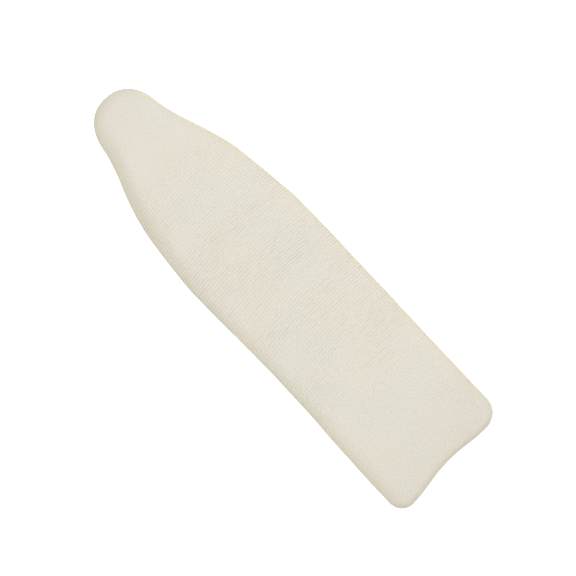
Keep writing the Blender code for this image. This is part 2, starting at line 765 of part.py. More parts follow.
def make_lower_pivots(steel, nylon):
    pin = rivet("rear_lower_pivot", CHANNEL_HALF_WIDTH + GAP, LOWER_RIVET_HEIGHT, steel)
    pin.location = (LOWER_REAR_X, 0.0, LOWER_PIVOT_Z)
    for name, (lower_x, _) in PINS.items():
        for side, low in (("left", ARM_OUTSIDE + GAP), ("right", -CHANNEL_INSIDE + GAP)):
            spacer = f"{name}_lower_washer_{side}"
            ring_washer = washer(spacer, low, WASHER_OUTER, LOWER_WASHER_RADIUS, nylon)
            ring_washer.location = (lower_x, 0.0, LOWER_PIVOT_Z)


def make_upper_pivots(steel, nylon, pivot):
    for name, (_, upper_x) in PINS.items():
        face = ARM_OUTSIDE + GAP
        pin = rivet(f"{name}_upper_pivot", face, UPPER_RIVET_HEIGHT, steel, pivot)
        pin.location = (upper_x - UPPER_FRONT_X, 0.0, 0.0)
        inner = BRACKET_HALF_WIDTH + GAP
        for side, low in (("left", inner), ("right", -inner - WASHER_INNER)):
            spacer = f"{name}_upper_washer_{side}"
            ring_washer = washer(spacer, low, WASHER_INNER, UPPER_WASHER_RADIUS, nylon, pivot)
            ring_washer.location = (upper_x - UPPER_FRONT_X, 0.0, 0.0)


# ---------------------------------------------------------------- clamp knob
KNOB_RADIUS = 0.0125
KNOB_LOBES = 6
KNOB_LOBE_DEPTH = 0.0018
KNOB_THICKNESS = 0.0145
INSERT_RADIUS = 0.005
CLAMP_FACE = CHANNEL_HALF_WIDTH + GAP
CLAMP_WASHER = 0.0012
KNOB_FACE = CLAMP_FACE + CLAMP_WASHER + GAP
BOLT_END = KNOB_FACE + 0.0118


def lobed_ring(radius, y):
    """A knob's cross-section at y, with lobes to grip."""
    steps = KNOB_LOBES * 8
    points = []
    for i in range(steps):
        angle = math.tau * i / steps
        lobe = KNOB_LOBE_DEPTH * (1 - math.cos(KNOB_LOBES * angle)) / 2
        reach = (radius - lobe * radius / KNOB_RADIUS) * math.cos(angle)
        rise = (radius - lobe * radius / KNOB_RADIUS) * math.sin(angle)
        points.append((reach, y, rise))
    return points


def make_clamp_bolt(material):
    """A hexagon-head bolt through the channel and the front arm, with its thread to the left."""
    head = arc((0.0, 0.0), BOLT_HEAD_RADIUS, 0, 300, 5)
    head_end = -CLAMP_FACE - BOLT_HEAD_HEIGHT
    bolt = add_object("clamp_bolt", plate(head, head_end, -CLAMP_FACE), material)
    shank = rods([(0.0, 0.0)], PIN_RADIUS, -CLAMP_FACE - 0.002, BOLT_END)
    bolt.location = (LOWER_FRONT_X, 0.0, LOWER_PIVOT_Z)
    stem = helper("clamp_bolt_shank", shank)
    stem.location = bolt.location
    combine(bolt, stem, "UNION")
    face_washer = washer("clamp_washer", CLAMP_FACE, CLAMP_WASHER, LOWER_WASHER_RADIUS, material)
    face_washer.location = bolt.location


def make_knob(plastic, brass, pivot):
    """The hand knob, closed at its outer end, on a brass insert that runs on the bolt's thread."""
    outer = KNOB_FACE + KNOB_THICKNESS
    sections = [
        (0.0085, KNOB_FACE),
        (0.0085, KNOB_FACE + 0.003),
        (KNOB_RADIUS - 0.001, KNOB_FACE + 0.0045),
        (KNOB_RADIUS, KNOB_FACE + 0.0060),
        (KNOB_RADIUS, outer - 0.0025),
        (KNOB_RADIUS - 0.0010, outer - 0.0008),
        (KNOB_RADIUS - 0.0030, outer),
    ]
    bm = loft([lobed_ring(radius, y) for radius, y in sections])
    knob = add_object("clamp_knob", bm, plastic, pivot)
    insert_end = BOLT_END + 0.0006
    bore = rods([(0.0, 0.0)], INSERT_RADIUS + RUN, KNOB_FACE - 0.002, insert_end + GAP)
    combine(knob, helper("knob_bore", bore, pivot))
    hole, low = PIN_RADIUS + RUN, KNOB_FACE + GAP
    profile = [
        (hole, low),
        (INSERT_RADIUS, low),
        (INSERT_RADIUS, insert_end),
        (hole, insert_end),
    ]
    add_object("knob_insert", turned(profile, closed=True), brass, pivot)


# ---------------------------------------------------------------- assembly
def place(obj):
    """Keeps a piece modelled in world coordinates where it is, under its parent."""
    obj.matrix_parent_inverse = Matrix.Translation(obj.parent.matrix_world.translation).inverted()
    return obj


def make_deck(materials, pivot):
    steel = materials["steel"]
    make_cover(materials["cotton"], pivot)
    make_pad(materials["felt"], pivot)
    make_elastic(materials["elastic"], pivot)
    make_deck_board(materials["wood"], pivot)
    screw_mesh = make_screw_mesh(BRACKET_SCREW_LENGTH, steel)
    screw_z = BRACKET_TOP - SHEET - GAP - UPPER_PIVOT_Z
    for name, (_, upper_x) in PINS.items():
        make_upper_bracket("upper_bracket_" + name, upper_x, steel, pivot)
        for i, (dx, dy) in enumerate(BRACKET_SCREWS, 1):
            seat = (upper_x + dx - UPPER_FRONT_X, dy, screw_z)
            add_screw(f"bracket_screw_{name}_{i}", screw_mesh, seat, pivot)
    make_upper_pivots(steel, materials["nylon"], pivot)


def make_base(materials):
    steel, rubber = materials["steel"], materials["rubber"]
    make_base_board(materials["wood"])
    make_channel(steel)
    make_channel_screws(steel)
    make_feet(rubber, steel)
    make_lower_pivots(steel, materials["nylon"])
    make_clamp_bolt(steel)
    for name, (lower_x, _) in PINS.items():
        make_stop(name, lower_x, steel, rubber)
        make_buffer("fold_buffer_" + name, lower_x, rubber)


def main():
    clear_scene()
    materials = make_materials()
    make_base(materials)
    for name, (lower_x, _) in PINS.items():
        pivot = add_empty(f"{name}_arm_pivot", (lower_x, 0.0, LOWER_PIVOT_Z), -ARM_LEAN)
        make_arm(name, pivot, materials["steel"])
    deck_pivot = add_empty("deck_pivot", (UPPER_FRONT_X, 0.0, UPPER_PIVOT_Z))
    knob_pivot = add_empty("knob_pivot", (LOWER_FRONT_X, 0.0, LOWER_PIVOT_Z))
    bpy.context.view_layer.update()
    make_deck(materials, deck_pivot)
    make_knob(materials["plastic"], materials["brass"], knob_pivot)
    settle_all()


main()
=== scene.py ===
"""Sleeve ironing board, seen from straight above its padded top.

Metres; +X points to the board's nose, +Z up, as in the frame. The steel, wood and rubber are the
frame's own CAD nodes with procedural finishes. The cotton cover, its stitching, the felt pad, the
hem's elastic and the clamp knob are modelled here, in the places of their CAD solids.
"""

import math

import bpy
import numpy as np
from mathutils import Matrix, Vector


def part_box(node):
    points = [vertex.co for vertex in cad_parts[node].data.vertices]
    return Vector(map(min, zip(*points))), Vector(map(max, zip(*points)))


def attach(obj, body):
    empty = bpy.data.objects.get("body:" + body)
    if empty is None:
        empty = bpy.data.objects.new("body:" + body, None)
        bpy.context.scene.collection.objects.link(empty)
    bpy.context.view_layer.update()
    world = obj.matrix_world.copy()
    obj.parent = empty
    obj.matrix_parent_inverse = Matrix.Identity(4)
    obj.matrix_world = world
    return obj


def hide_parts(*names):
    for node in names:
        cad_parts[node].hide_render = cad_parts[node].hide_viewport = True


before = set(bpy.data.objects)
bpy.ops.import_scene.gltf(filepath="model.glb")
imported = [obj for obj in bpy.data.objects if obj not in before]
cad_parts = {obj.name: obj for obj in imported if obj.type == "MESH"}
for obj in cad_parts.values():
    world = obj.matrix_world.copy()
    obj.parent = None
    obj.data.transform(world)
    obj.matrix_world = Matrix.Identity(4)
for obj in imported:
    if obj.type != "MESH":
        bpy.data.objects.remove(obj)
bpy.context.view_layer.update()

COVER_LOW, COVER_HIGH = (np.array(corner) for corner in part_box("cover"))
LENGTH = COVER_HIGH[0] - COVER_LOW[0]
NOSE_X = COVER_HIGH[0]
TOP = COVER_HIGH[2]
BOTTOM = COVER_LOW[2]

# The board's edge, as in part.py. Nose and shoulder are fractions of its length and half-width.
HALF_WIDTH = 0.0718
LEFT_CORNER = 0.017
RIGHT_CORNER = 0.021
TAIL_DIP = 0.0045
TAIL_SKEW = 0.0028
WAIST = 0.0012
SWAY = 0.0012
SWAY_WAVE = 0.79  # of the length
SKEW_START = 0.8
NOSE_LENGTH = 0.097
NOSE_WIDTH = 0.515
NOSE_ANGLE = 75
NOSE_POWER = 2.3
SHOULDER = [(0.091, 0.531), (0.125, 0.603), (0.180, 0.742), (0.235, 0.852), (0.300, 0.924)]
SHOULDER_END = (0.400, 0.993)

# How many points the edge is drawn with, before it is divided into stations
NOSE_STEPS = 80
SHOULDER_STEPS = 24  # between each two of its points
SIDE_STEPS = 200
CORNER_STEPS = 40
TAIL_STEPS = 80

# The cover's cross-section
CLOTH = 0.0014  # thickness
ROLL_IN = 0.0160  # how far in from the edge the padded top starts to fall away
ROLL_DOWN = 0.0090
CROWN = 0.0006  # height of the top's middle over the start of its roll
TAIL_TIGHTNESS = 0.72  # the share of its roll that the padding doesn't fall at the tail
TIGHT_INSET = 0.0045  # from the tail's edge to where the padding stands up that much
HEM_ROUND = 0.0025
HEM_WIDTH = 0.0155

# The padding behind the nose
SHELF_HEIGHT = 0.0023  # how far it stands up
SHELF_LEFT = 0.017  # how wide its slopes are, inside the board's edges
SHELF_RIGHT = 0.026
SHELF_START = 0.012  # from the nose
SHELF_RISE = 0.045
SHELF_FALL = 0.085
SHELF_END = 0.220
RIDGE_HEIGHT = 0.0011  # of the ridge inside the shelf's left edge
RIDGE_INSET = 0.016
RIDGE_REACH = 1.6  # how many times that far its inner slope runs on

# The cloth's unevenness
EDGE_WAVER = 0.00035  # of the side, in and out
PAD_SWELL = 0.00022  # of the padding under the cloth, up and down
PAD_DIMPLE = 0.00008
PLEAT_PITCH = 0.0082  # of the gathers round the hem
SLOW_PLEAT_PITCH = 0.0151
PLEAT_SWELL = 0.00028  # of the side, in and out
PLEAT_START = 0.005  # below the top
PLEAT_RISE = 0.010
HEM_SLACK = 0.0007  # how far the gathered hem hangs down
HEM_WAVE = 0.0009  # how much more or less than that its gathers do

# Ribs, placed by their distance from the nose
RIB_PITCH = 0.0032
RIB_HEIGHT = 0.00016
RIB_DRIFT = 0.0008  # from its place along the board
RIB_JITTER = 0.0004
RIB_BOW = 2.8  # how fast the ribs turn across the board, in radians a metre
RIB_BOW_WIDTH = 0.060  # past this far from the middle they turn less
RIB_LEAN = 0.062  # the ribs' slope on the centreline, in the board's rear half
LEAN_START = 0.20
LEAN_RISE = 0.10
RIB_CROWDING = 170.0  # how much closer the ribs lie towards the tail, in turns a square metre
CROWDING_START = 0.31
NOSE_DEPTH = 0.2  # the share of their depth that the ribs keep at the nose
NOSE_RIBS_START = 0.065
NOSE_RIBS_RISE = 0.075
TAIL_RIBS_START = 0.34
TAIL_RIBS_FALL = 0.10

# Painted warm shade on the cloth's turned-down edge, its side, hem and inside
EDGE_SHADE_WIDTH = 0.0125  # how far in from the edge it comes
EDGE_SHADE_LEAN = 0.0035  # more than that on the left, the side away from the key light, less on the right

# The cover's mesh
ROLL_RINGS = 9
SIDE_RINGS = 4
HEM_ROUND_RINGS = 4
HEM_RINGS = 6
STEP = 0.0007  # between stations along the board's sides
COLUMNS = 48  # grid columns across the top
NOSE_ARC = 0.024  # half the arc of the nose that the grid's front edge takes
FADE_ROWS = 90  # the grid's rows at each end that bend to its end's curve
BEND_REACH = 8  # stations to each side over which the edge's turning is measured
BEND_BLUR = 40

# Rounding of the CAD nodes' sharp edges
METAL_EDGE = 0.00028
SCREW_EDGE = 0.00008  # in their narrow cross recesses too
RUBBER_EDGE = 0.0005
WOOD_EDGE = 0.0006
NYLON_EDGE = 0.0002
WELD_DISTANCE = 1e-6
FLAT_ANGLE = math.radians(0.1)  # faces that meet at less than this are joined
SHARP_ANGLE = math.radians(35)  # edges that turn more than this are rounded

DECK_PLIES = 7
BASE_PLIES = 9


# ---------------------------------------------------------------- small tools
def smoothstep(x):
    x = np.clip(x, 0, 1)
    return x * x * (3 - 2 * x)


WANDER_CELLS = 64  # after so many, the noise repeats
WANDER_START = 31.7


def wander(points, size, seed):
    """Smooth noise from -1 to 1 at 2-D points, with features about size metres across."""
    grid = np.random.default_rng(seed).uniform(-1, 1, (WANDER_CELLS, WANDER_CELLS))
    at = np.asarray(points) / size + WANDER_START
    cell = np.floor(at).astype(int)
    part = smoothstep(at - cell)
    low, high = cell % WANDER_CELLS, (cell + 1) % WANDER_CELLS
    u, v = part[..., 0], part[..., 1]
    near = grid[low[..., 0], low[..., 1]] * (1 - u) + grid[high[..., 0], low[..., 1]] * u
    far = grid[low[..., 0], high[..., 1]] * (1 - u) + grid[high[..., 0], high[..., 1]] * u
    return near * (1 - v) + far * v


def on_line(distance):
    """2-D points at these distances along a straight line, for wander."""
    return np.stack((distance, np.zeros_like(distance)), 1)


def add_piece(name, points, faces, body, material):
    """A smooth-shaded mesh object in row-frame coordinates that rides on a CAD body."""
    mesh = bpy.data.meshes.new(name)
    mesh.from_pydata(np.asarray(points).tolist(), [], faces)
    mesh.polygons.foreach_set("use_smooth", [True] * len(mesh.polygons))
    mesh.materials.append(material)
    mesh.validate()
    obj = bpy.data.objects.new(name, mesh)
    bpy.context.scene.collection.objects.link(obj)
    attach(obj, body)
    return obj


def add_attribute(obj, name, values):
    """A number or a vector for each of obj's points, for its material to read."""
    values = np.asarray(values, np.float32)
    kind = "FLOAT" if values.ndim == 1 else "FLOAT_VECTOR"
    layer = obj.data.attributes.new(name, kind, "POINT")
    layer.data.foreach_set("value" if values.ndim == 1 else "vector", values.ravel())


def ring_faces(rings, count, closed=False):
    """Quads between successive rings of count points each."""
    step = np.arange(count)
    after = (step + 1) % count
    faces = []
    for j in range(rings if closed else rings - 1):
        a, b = j * count, (j + 1) % rings * count
        faces.append(np.stack((a + step, a + after, b + after, b + step), 1))
    return np.concatenate(faces)


def cap(first, count):
    """One face over the ring of count points that starts at first."""
    return list(range(first, first + count))


# ---------------------------------------------------------------- materials
class Finish:
    """A procedural material, with short ways to add and link its nodes.

    Every object sits at the origin, so object coordinates are metres in the row frame.
    """

    def __init__(self, name, **constants):
        self.material = bpy.data.materials.new(name)
        self.material.use_nodes = True
        self.tree = self.material.node_tree
        self.bsdf = self.tree.nodes["Principled BSDF"]
        for socket, value in constants.items():
            self.bsdf.inputs[socket.replace("_", " ")].default_value = value
        self.place = self.add("TexCoord").outputs["Object"]

    def add(self, kind, inputs=None, **settings):
        node = self.tree.nodes.new("ShaderNode" + kind)
        for name, value in settings.items():
            setattr(node, name, value)
        for key, value in (inputs or {}).items():
            self.put(node.inputs[key], value)
        return node

    def put(self, socket, value):
        if isinstance(value, bpy.types.NodeSocket):
            self.tree.links.new(value, socket)
        else:
            socket.default_value = value

    def math(self, operation, *values):
        node = self.add("Math", operation=operation)
        for socket, value in zip(node.inputs, values):
            self.put(socket, value)
        return node.outputs[0]

    def scaled(self, by, place=None):
        """Coordinates multiplied by the three numbers in by."""
        node = self.add("Mapping", {"Vector": place or self.place, "Scale": by})
        return node.outputs[0]

    def noise(self, scale, place=None, detail=2.0, roughness=0.5):
        inputs = {
            "Vector": place or self.place,
            "Scale": scale,
            "Detail": detail,
            "Roughness": roughness,
        }
        return self.add("TexNoise", inputs).outputs["Fac"]

    def streaks(self, by, place=None, detail=2.0, roughness=0.5):
        """Noise with its own scale along each axis, the three numbers in by."""
        return self.noise(1.0, self.scaled(by, place), detail, roughness)

    def attribute(self, name, output="Fac"):
        return self.add("Attribute", attribute_name=name).outputs[output]

    def axis(self, vector, index):
        return self.add("SeparateXYZ", {0: vector}).outputs[index]

    def cell_value(self, cells):
        """A number for each cell of a Voronoi texture."""
        return self.add("SeparateColor", {0: cells.outputs["Color"]}).outputs[0]

    def spread(self, value, low, high, to_low=0.0, to_high=1.0):
        """value moved from the range low to high to another range, and held inside it."""
        inputs = {"Value": value, "From Min": low, "From Max": high}
        inputs.update({"To Min": to_low, "To Max": to_high})
        return self.add("MapRange", inputs).outputs[0]

    def blend(self, factor, first, second, kind="MIX"):
        node = self.add("Mix", data_type="RGBA", blend_type=kind)
        for index, value in ((0, factor), (6, first), (7, second)):
            self.put(node.inputs[index], value)
        return node.outputs[2]

    def bump(self, height, distance, under=None):
        inputs = {"Height": height, "Distance": distance, "Strength": 1.0}
        if under is not None:
            inputs["Normal"] = under
        return self.add("Bump", inputs).outputs[0]

    def finish(self, **sockets):
        for name, value in sockets.items():
            self.put(self.bsdf.inputs[name.replace("_", " ")], value)
        return self.material


WARM_COTTON = (0.780, 0.731, 0.632, 1.0)
COOL_COTTON = (0.764, 0.734, 0.655, 1.0)
RIB_SHADE = (0.52, 0.48, 0.39, 1.0)
# painted warm shade, multiplied in at the cloth's turned-down edge
EDGE_SHADE_TINT = (1.0, 0.985, 0.905, 1.0)
SEED_FLECK = (0.23, 0.16, 0.10, 1.0)


def ribbed_cotton():
    """Undyed cotton: broken ribs across the board, soft warm and cool blotches, seed flecks."""
    f = Finish("ribbed_cotton", Sheen_Weight=0.12, Sheen_Roughness=0.5, Specular_IOR_Level=0.15)
    cloth = f.attribute("cloth", "Vector")
    phase = f.attribute("rib_phase")
    depth = f.attribute("rib_depth")
    # how much painted warm edge shade each point takes
    edge = f.attribute("edge")

    # Shade in the valleys between the ribs, uneven along their length
    wobble = f.streaks((130.0, 260.0, 1.0), cloth)
    phase = f.math("MULTIPLY_ADD", wobble, 0.7, phase)
    wave = f.math("COSINE", f.math("MULTIPLY", phase, math.tau))
    valley = f.math("POWER", f.math("MULTIPLY_ADD", wave, -0.5, 0.5), 1.6)
    broken = f.spread(f.streaks((320.0, 80.0, 1.0), cloth), 0.32, 0.68, 0.5, 1.45)
    valley = f.math("MULTIPLY", f.math("MULTIPLY", valley, depth), broken)

    # Blotches. Each spread of along goes from one place to another, in metres forward of the
    # board's middle.
    along = f.axis(cloth, 0)
    clear_nose = f.spread(along, 0.06, 0.18, 1.3, 0.3)
    mottled = f.math("MULTIPLY", clear_nose, f.spread(along, -0.14, -0.05, 0.6, 1.0))
    blotch = f.noise(14.0, cloth, detail=3.0, roughness=0.55)
    blotch = f.spread(blotch, 0.36, 0.64, -0.5, 0.5)
    blotch = f.math("MULTIPLY_ADD", blotch, mottled, 0.5)
    base = f.blend(blotch, WARM_COTTON, COOL_COTTON)

    # Thick and thin yarn
    slub = f.spread(f.streaks((800.0, 420.0, 1.0), cloth), 0.3, 0.7, -1.0, 1.0)
    calm_nose = f.spread(along, 0.13, 0.20, 0.080, 0.050)
    uneven = f.math("MULTIPLY", calm_nose, f.spread(along, -0.24, -0.15, 0.75, 1.0))
    dim_tail = f.spread(along, -0.25, -0.14, 0.968, 0.995)
    slub = f.math("MULTIPLY_ADD", slub, uneven, dim_tail)
    shade = f.add("CombineColor", {0: slub, 1: slub, 2: slub}).outputs[0]
    base = f.blend(1.0, base, shade, "MULTIPLY")
    base = f.blend(f.math("MULTIPLY", valley, 0.36), base, RIB_SHADE)
    # Painted warm shade on the turned-down edge, side, hem and inside
    base = f.blend(edge, base, EDGE_SHADE_TINT, "MULTIPLY")

    # Seed flecks, in a few cells of a coarse pattern
    cells = f.add("TexVoronoi", {"Vector": cloth, "Scale": 42.0})
    chosen = f.math("GREATER_THAN", f.cell_value(cells), 0.82)
    fleck = f.spread(cells.outputs["Distance"], 0.012, 0.03, 1.0, 0.0)
    fleck = f.math("MULTIPLY", f.math("MULTIPLY", chosen, fleck), 0.75)
    base = f.blend(fleck, base, SEED_FLECK)

    fibre = f.streaks((2600.0, 1500.0, 1.0), cloth)
    normal = f.bump(f.math("MULTIPLY", valley, -1.0), RIB_HEIGHT)
    normal = f.bump(fibre, 0.00010, normal)
    rough = f.spread(fibre, 0.3, 0.7, 0.82, 0.95)
    return f.finish(Base_Color=base, Roughness=rough, Normal=normal)


def sewing_thread():
    """Twisted cotton thread, a little shinier than the cloth."""
    f = Finish("sewing_thread", Specular_IOR_Level=0.3)
    twist = f.streaks((3200.0, 3200.0, 3200.0), detail=1.0)
    base = f.blend(twist, (0.70, 0.66, 0.56, 1.0), (0.86, 0.83, 0.74, 1.0))
    return f.finish(Base_Color=base, Roughness=0.7, Normal=f.bump(twist, 0.0001))


def needled_felt():
    """Grey-white felt of matted fibres."""
    f = Finish("needled_felt", Sheen_Weight=0.3, Sheen_Roughness=0.6, Specular_IOR_Level=0.1)
    fibre = f.noise(900.0, detail=4.0, roughness=0.7)
    base = f.blend(fibre, (0.46, 0.45, 0.42, 1.0), (0.66, 0.65, 0.61, 1.0))
    return f.finish(Base_Color=base, Roughness=0.95, Normal=f.bump(fibre, 0.0005))


ELASTIC_RIPPLE = 0.0009  # between the elastic's crossing threads


def woven_elastic():
    """Braided elastic: cords along it, with the crossing threads as a fine ripple."""
    f = Finish("woven_elastic", Specular_IOR_Level=0.25)
    cord = f.attribute("cord")
    along = f.attribute("along")
    ripple = f.math("SINE", f.math("MULTIPLY", along, math.tau / ELASTIC_RIPPLE))
    ripple = f.math("MULTIPLY_ADD", ripple, 0.3, cord)
    # Painted shade: darker in the grooves between the cords and between the crossing threads
    base = f.blend(f.spread(ripple, -1.0, 1.0), (0.62, 0.61, 0.57, 1.0), (0.86, 0.85, 0.81, 1.0))
    return f.finish(Base_Color=base, Roughness=0.8, Normal=f.bump(ripple, 0.0002))


EARLY_WOOD = (0.60, 0.41, 0.235, 1.0)
LATE_WOOD = (0.72, 0.53, 0.335, 1.0)
PORES = (0.36, 0.22, 0.11, 1.0)


def plywood(name, bottom, plies, thickness, seed):
    """Birch ply: rotary-cut grain along its faces, light and dark plies at its edges."""
    f = Finish(name, Specular_IOR_Level=0.4, Coat_Weight=0.12, Coat_Roughness=0.35)
    shift = (seed, seed * 0.7, seed * 1.3)
    place = f.add("Mapping", {"Vector": f.place, "Location": shift}).outputs[0]
    figure = f.streaks((7.0, 55.0, 3.0), place, detail=4.0, roughness=0.55)
    bands = f.math("SINE", f.math("MULTIPLY", figure, 46.0))
    pores = f.streaks((90.0, 2600.0, 90.0), place)
    face = f.blend(f.spread(bands, -1.0, 1.0), EARLY_WOOD, LATE_WOOD)
    face = f.blend(f.spread(pores, 0.56, 0.70, 0.0, 0.45), face, PORES)

    # The plies' edges, which waver a little
    wavy = f.math("MULTIPLY_ADD", f.noise(35.0, place), 0.0002, f.axis(f.place, 2))
    ply = f.math("MULTIPLY", f.math("SUBTRACT", wavy, bottom), plies / thickness)
    odd = f.math("PINGPONG", f.math("FLOOR", ply), 1.0)
    ends = f.streaks((900.0, 900.0, 2600.0), place)
    light = f.blend(ends, (0.55, 0.38, 0.22, 1.0), (0.70, 0.52, 0.33, 1.0))
    dark = f.blend(ends, (0.26, 0.155, 0.080, 1.0), (0.40, 0.26, 0.145, 1.0))
    rim = f.blend(odd, light, dark)

    upward = f.axis(f.add("TexCoord").outputs["Normal"], 2)
    level = f.spread(f.math("ABSOLUTE", upward), 0.55, 0.80)
    return f.finish(
        Base_Color=f.blend(level, rim, face),
        Roughness=f.spread(figure, 0.3, 0.7, 0.42, 0.58),
        Normal=f.bump(f.blend(level, ends, pores), 0.00012),
    )


def zinc_plate():
    """Bright zinc over pressed steel: faint spangle, rolling marks and handling wear."""
    f = Finish("zinc_plate", Metallic=1.0)
    spangle = f.add("TexVoronoi", {"Vector": f.place, "Scale": 260.0})
    tone = f.cell_value(spangle)
    cloud = f.noise(38.0, detail=4.0, roughness=0.6)
    tone = f.math("MULTIPLY_ADD", tone, 0.35, f.math("MULTIPLY", cloud, 0.8))
    base = f.blend(tone, (0.37, 0.38, 0.395, 1.0), (0.62, 0.625, 0.625, 1.0))
    marks = f.streaks((40.0, 3000.0, 3000.0))
    worn = f.spread(f.noise(140.0, detail=5.0, roughness=0.7), 0.60, 0.75, 0.0, 0.5)
    base = f.blend(worn, base, (0.32, 0.31, 0.30, 1.0))
    rough = f.math("ADD", f.spread(cloud, 0.3, 0.7, 0.24, 0.40), f.math("MULTIPLY", worn, 0.25))
    return f.finish(Base_Color=base, Roughness=rough, Normal=f.bump(marks, 0.00003))


def moulded_rubber():
    """Black rubber with a fine grain and dust in patches."""
    f = Finish("moulded_rubber", Specular_IOR_Level=0.35)
    grain = f.noise(1500.0, detail=3.0)
    dust = f.spread(f.noise(90.0, detail=5.0, roughness=0.7), 0.45, 0.75, 0.0, 0.35)
    base = f.blend(dust, (0.018, 0.018, 0.019, 1.0), (0.085, 0.082, 0.076, 1.0))
    rough = f.spread(dust, 0.0, 0.35, 0.62, 0.85)
    return f.finish(Base_Color=base, Roughness=rough, Normal=f.bump(grain, 0.00012))


def natural_nylon():
    """Undyed nylon, milky and slightly see-through."""
    f = Finish(
        "natural_nylon",
        Specular_IOR_Level=0.5,
        Subsurface_Weight=0.15,
        Subsurface_Radius=(0.002, 0.0018, 0.0014),
    )
    cloud = f.noise(300.0, detail=3.0)
    base = f.blend(cloud, (0.74, 0.72, 0.65, 1.0), (0.84, 0.83, 0.78, 1.0))
    rough = f.spread(cloud, 0.3, 0.7, 0.34, 0.48)
    return f.finish(Base_Color=base, Roughness=rough, Normal=f.bump(cloud, 0.00006))


def turned_brass():
    """Brass with the fine rings that its turning leaves, along its axis Y."""
    f = Finish("turned_brass", Metallic=1.0)
    rings = f.streaks((30.0, 5200.0, 30.0), detail=1.0)
    tarnish = f.noise(500.0, detail=4.0)
    base = f.blend(tarnish, (0.62, 0.43, 0.17, 1.0), (0.83, 0.64, 0.30, 1.0))
    rough = f.spread(tarnish, 0.3, 0.7, 0.22, 0.40)
    return f.finish(Base_Color=base, Roughness=rough, Normal=f.bump(rings, 0.00004))


def satin_plastic():
    """Black moulding with a spark-eroded grain, worn paler and duller in patches."""
    f = Finish("satin_plastic", Specular_IOR_Level=0.45)
    grain = f.noise(2600.0)
    worn = f.spread(f.noise(160.0, detail=3.0), 0.35, 0.7)
    base = f.blend(worn, (0.014, 0.014, 0.015, 1.0), (0.034, 0.034, 0.036, 1.0))
    rough = f.spread(worn, 0.0, 1.0, 0.40, 0.54)
    return f.finish(Base_Color=base, Roughness=rough, Normal=f.bump(grain, 0.00008))


# ---------------------------------------------------------------- the board's edge
def nose_point(angle):
    """A point of the superellipse round the nose."""
    power = 2 / NOSE_POWER
    return (NOSE_LENGTH * (1 - np.cos(angle) ** power), NOSE_WIDTH * np.sin(angle) ** power)


def smooth_curve(points, steps):
    """A Catmull-Rom curve from the second point to the last but one."""
    points = np.asarray(points, float)
    t = np.linspace(0, 1, steps, endpoint=False)[:, None]
    spans = []
    for a, b, c, d in zip(points, points[1:], points[2:], points[3:]):
        square = t**2 * (2 * a - 5 * b + 4 * c - d) / 2
        cube = t**3 * (3 * b - a - 3 * c + d) / 2
        spans.append(b + t * (c - a) / 2 + square + cube)
    return np.concatenate(spans + [points[-2:-1]])


def half_edge(corner_radius):
    """Half the deck's edge from nose tip to mid tail, finely, as (distance from the tip, width)."""
    angles = np.radians(np.linspace(0, NOSE_ANGLE, NOSE_STEPS))
    nose = np.stack(nose_point(angles), 1)
    before = nose_point(math.radians(NOSE_ANGLE * 7 / 8))
    beyond = (SHOULDER_END[0] + 0.1, 1.0)
    guides = [before, nose[-1], *SHOULDER, SHOULDER_END, beyond]
    shoulder = smooth_curve(guides, SHOULDER_STEPS)
    head = np.concatenate((nose[:-1], shoulder)) * (LENGTH, HALF_WIDTH)
    start = head[-1]
    u = np.linspace(0, 1, SIDE_STEPS)[1:]
    side_width = start[1] + (HALF_WIDTH - start[1]) * u - WAIST * np.sin(u * math.pi) ** 2
    corner_start, tail_width = LENGTH - corner_radius, HALF_WIDTH - corner_radius
    side = np.stack((start[0] + u * (corner_start - start[0]), side_width), 1)
    turn = np.radians(np.linspace(90, 0, CORNER_STEPS))[1:]
    corner = np.stack((np.cos(turn), np.sin(turn)), 1) * corner_radius
    corner += (corner_start, tail_width)
    u = np.linspace(0, 1, TAIL_STEPS)[1:]
    tail = np.stack((LENGTH - TAIL_DIP * np.sin(u * math.pi / 2) ** 2, tail_width * (1 - u)), 1)
    return np.concatenate((head, side, corner, tail))


def distance_along(points):
    """How far along the line through points each of them is."""
    steps = np.linalg.norm(np.diff(points, axis=0), axis=1)
    return np.concatenate(([0.0], np.cumsum(steps)))


def make_stations():
    """Points all round the edge, anticlockwise from the nose tip, and how many rows they give.

    They are STEP apart on the sides, and fewer on the nose and the tail, where each pairs with a
    column of the top's grid.
    """
    ends = COLUMNS // 2
    rows = round(LENGTH / STEP)
    halves = []
    for corner_radius in (LEFT_CORNER, RIGHT_CORNER):
        half = half_edge(corner_radius)
        along = distance_along(half)
        side_end = along[-1] - (HALF_WIDTH - corner_radius + corner_radius * math.pi / 4)
        wanted = np.concatenate((
            np.linspace(0, NOSE_ARC, ends, endpoint=False),
            np.linspace(NOSE_ARC, side_end, rows, endpoint=False),
            np.linspace(side_end, along[-1], ends + 1),
        ))
        halves.append(np.stack([np.interp(wanted, along, axis) for axis in half.T], 1))
    left, right = halves
    return askew(np.concatenate((left, right[-2:0:-1] * (1, -1)))), rows


def askew(loop):
    """The loop's (distance from the tip, width) as (x, y), with the tail's skew and the sway."""
    distance, y = loop.T
    near_tail = np.maximum(distance / LENGTH - SKEW_START, 0.0) / (1 - SKEW_START)
    x = distance + TAIL_SKEW * y / HALF_WIDTH * near_tail**2
    y = y + SWAY * np.sin(math.tau * distance / (SWAY_WAVE * LENGTH))
    middle = (y.max() + y.min()) / 2
    return np.stack((NOSE_X - x * LENGTH / x.max(), y - middle), 1)


EDGE, ROWS = make_stations()  # the edge's points as (x, y), anticlockwise
COUNT = len(EDGE)
AROUND = distance_along(np.concatenate((EDGE, EDGE[:1])))[:-1]  # metres from the nose tip


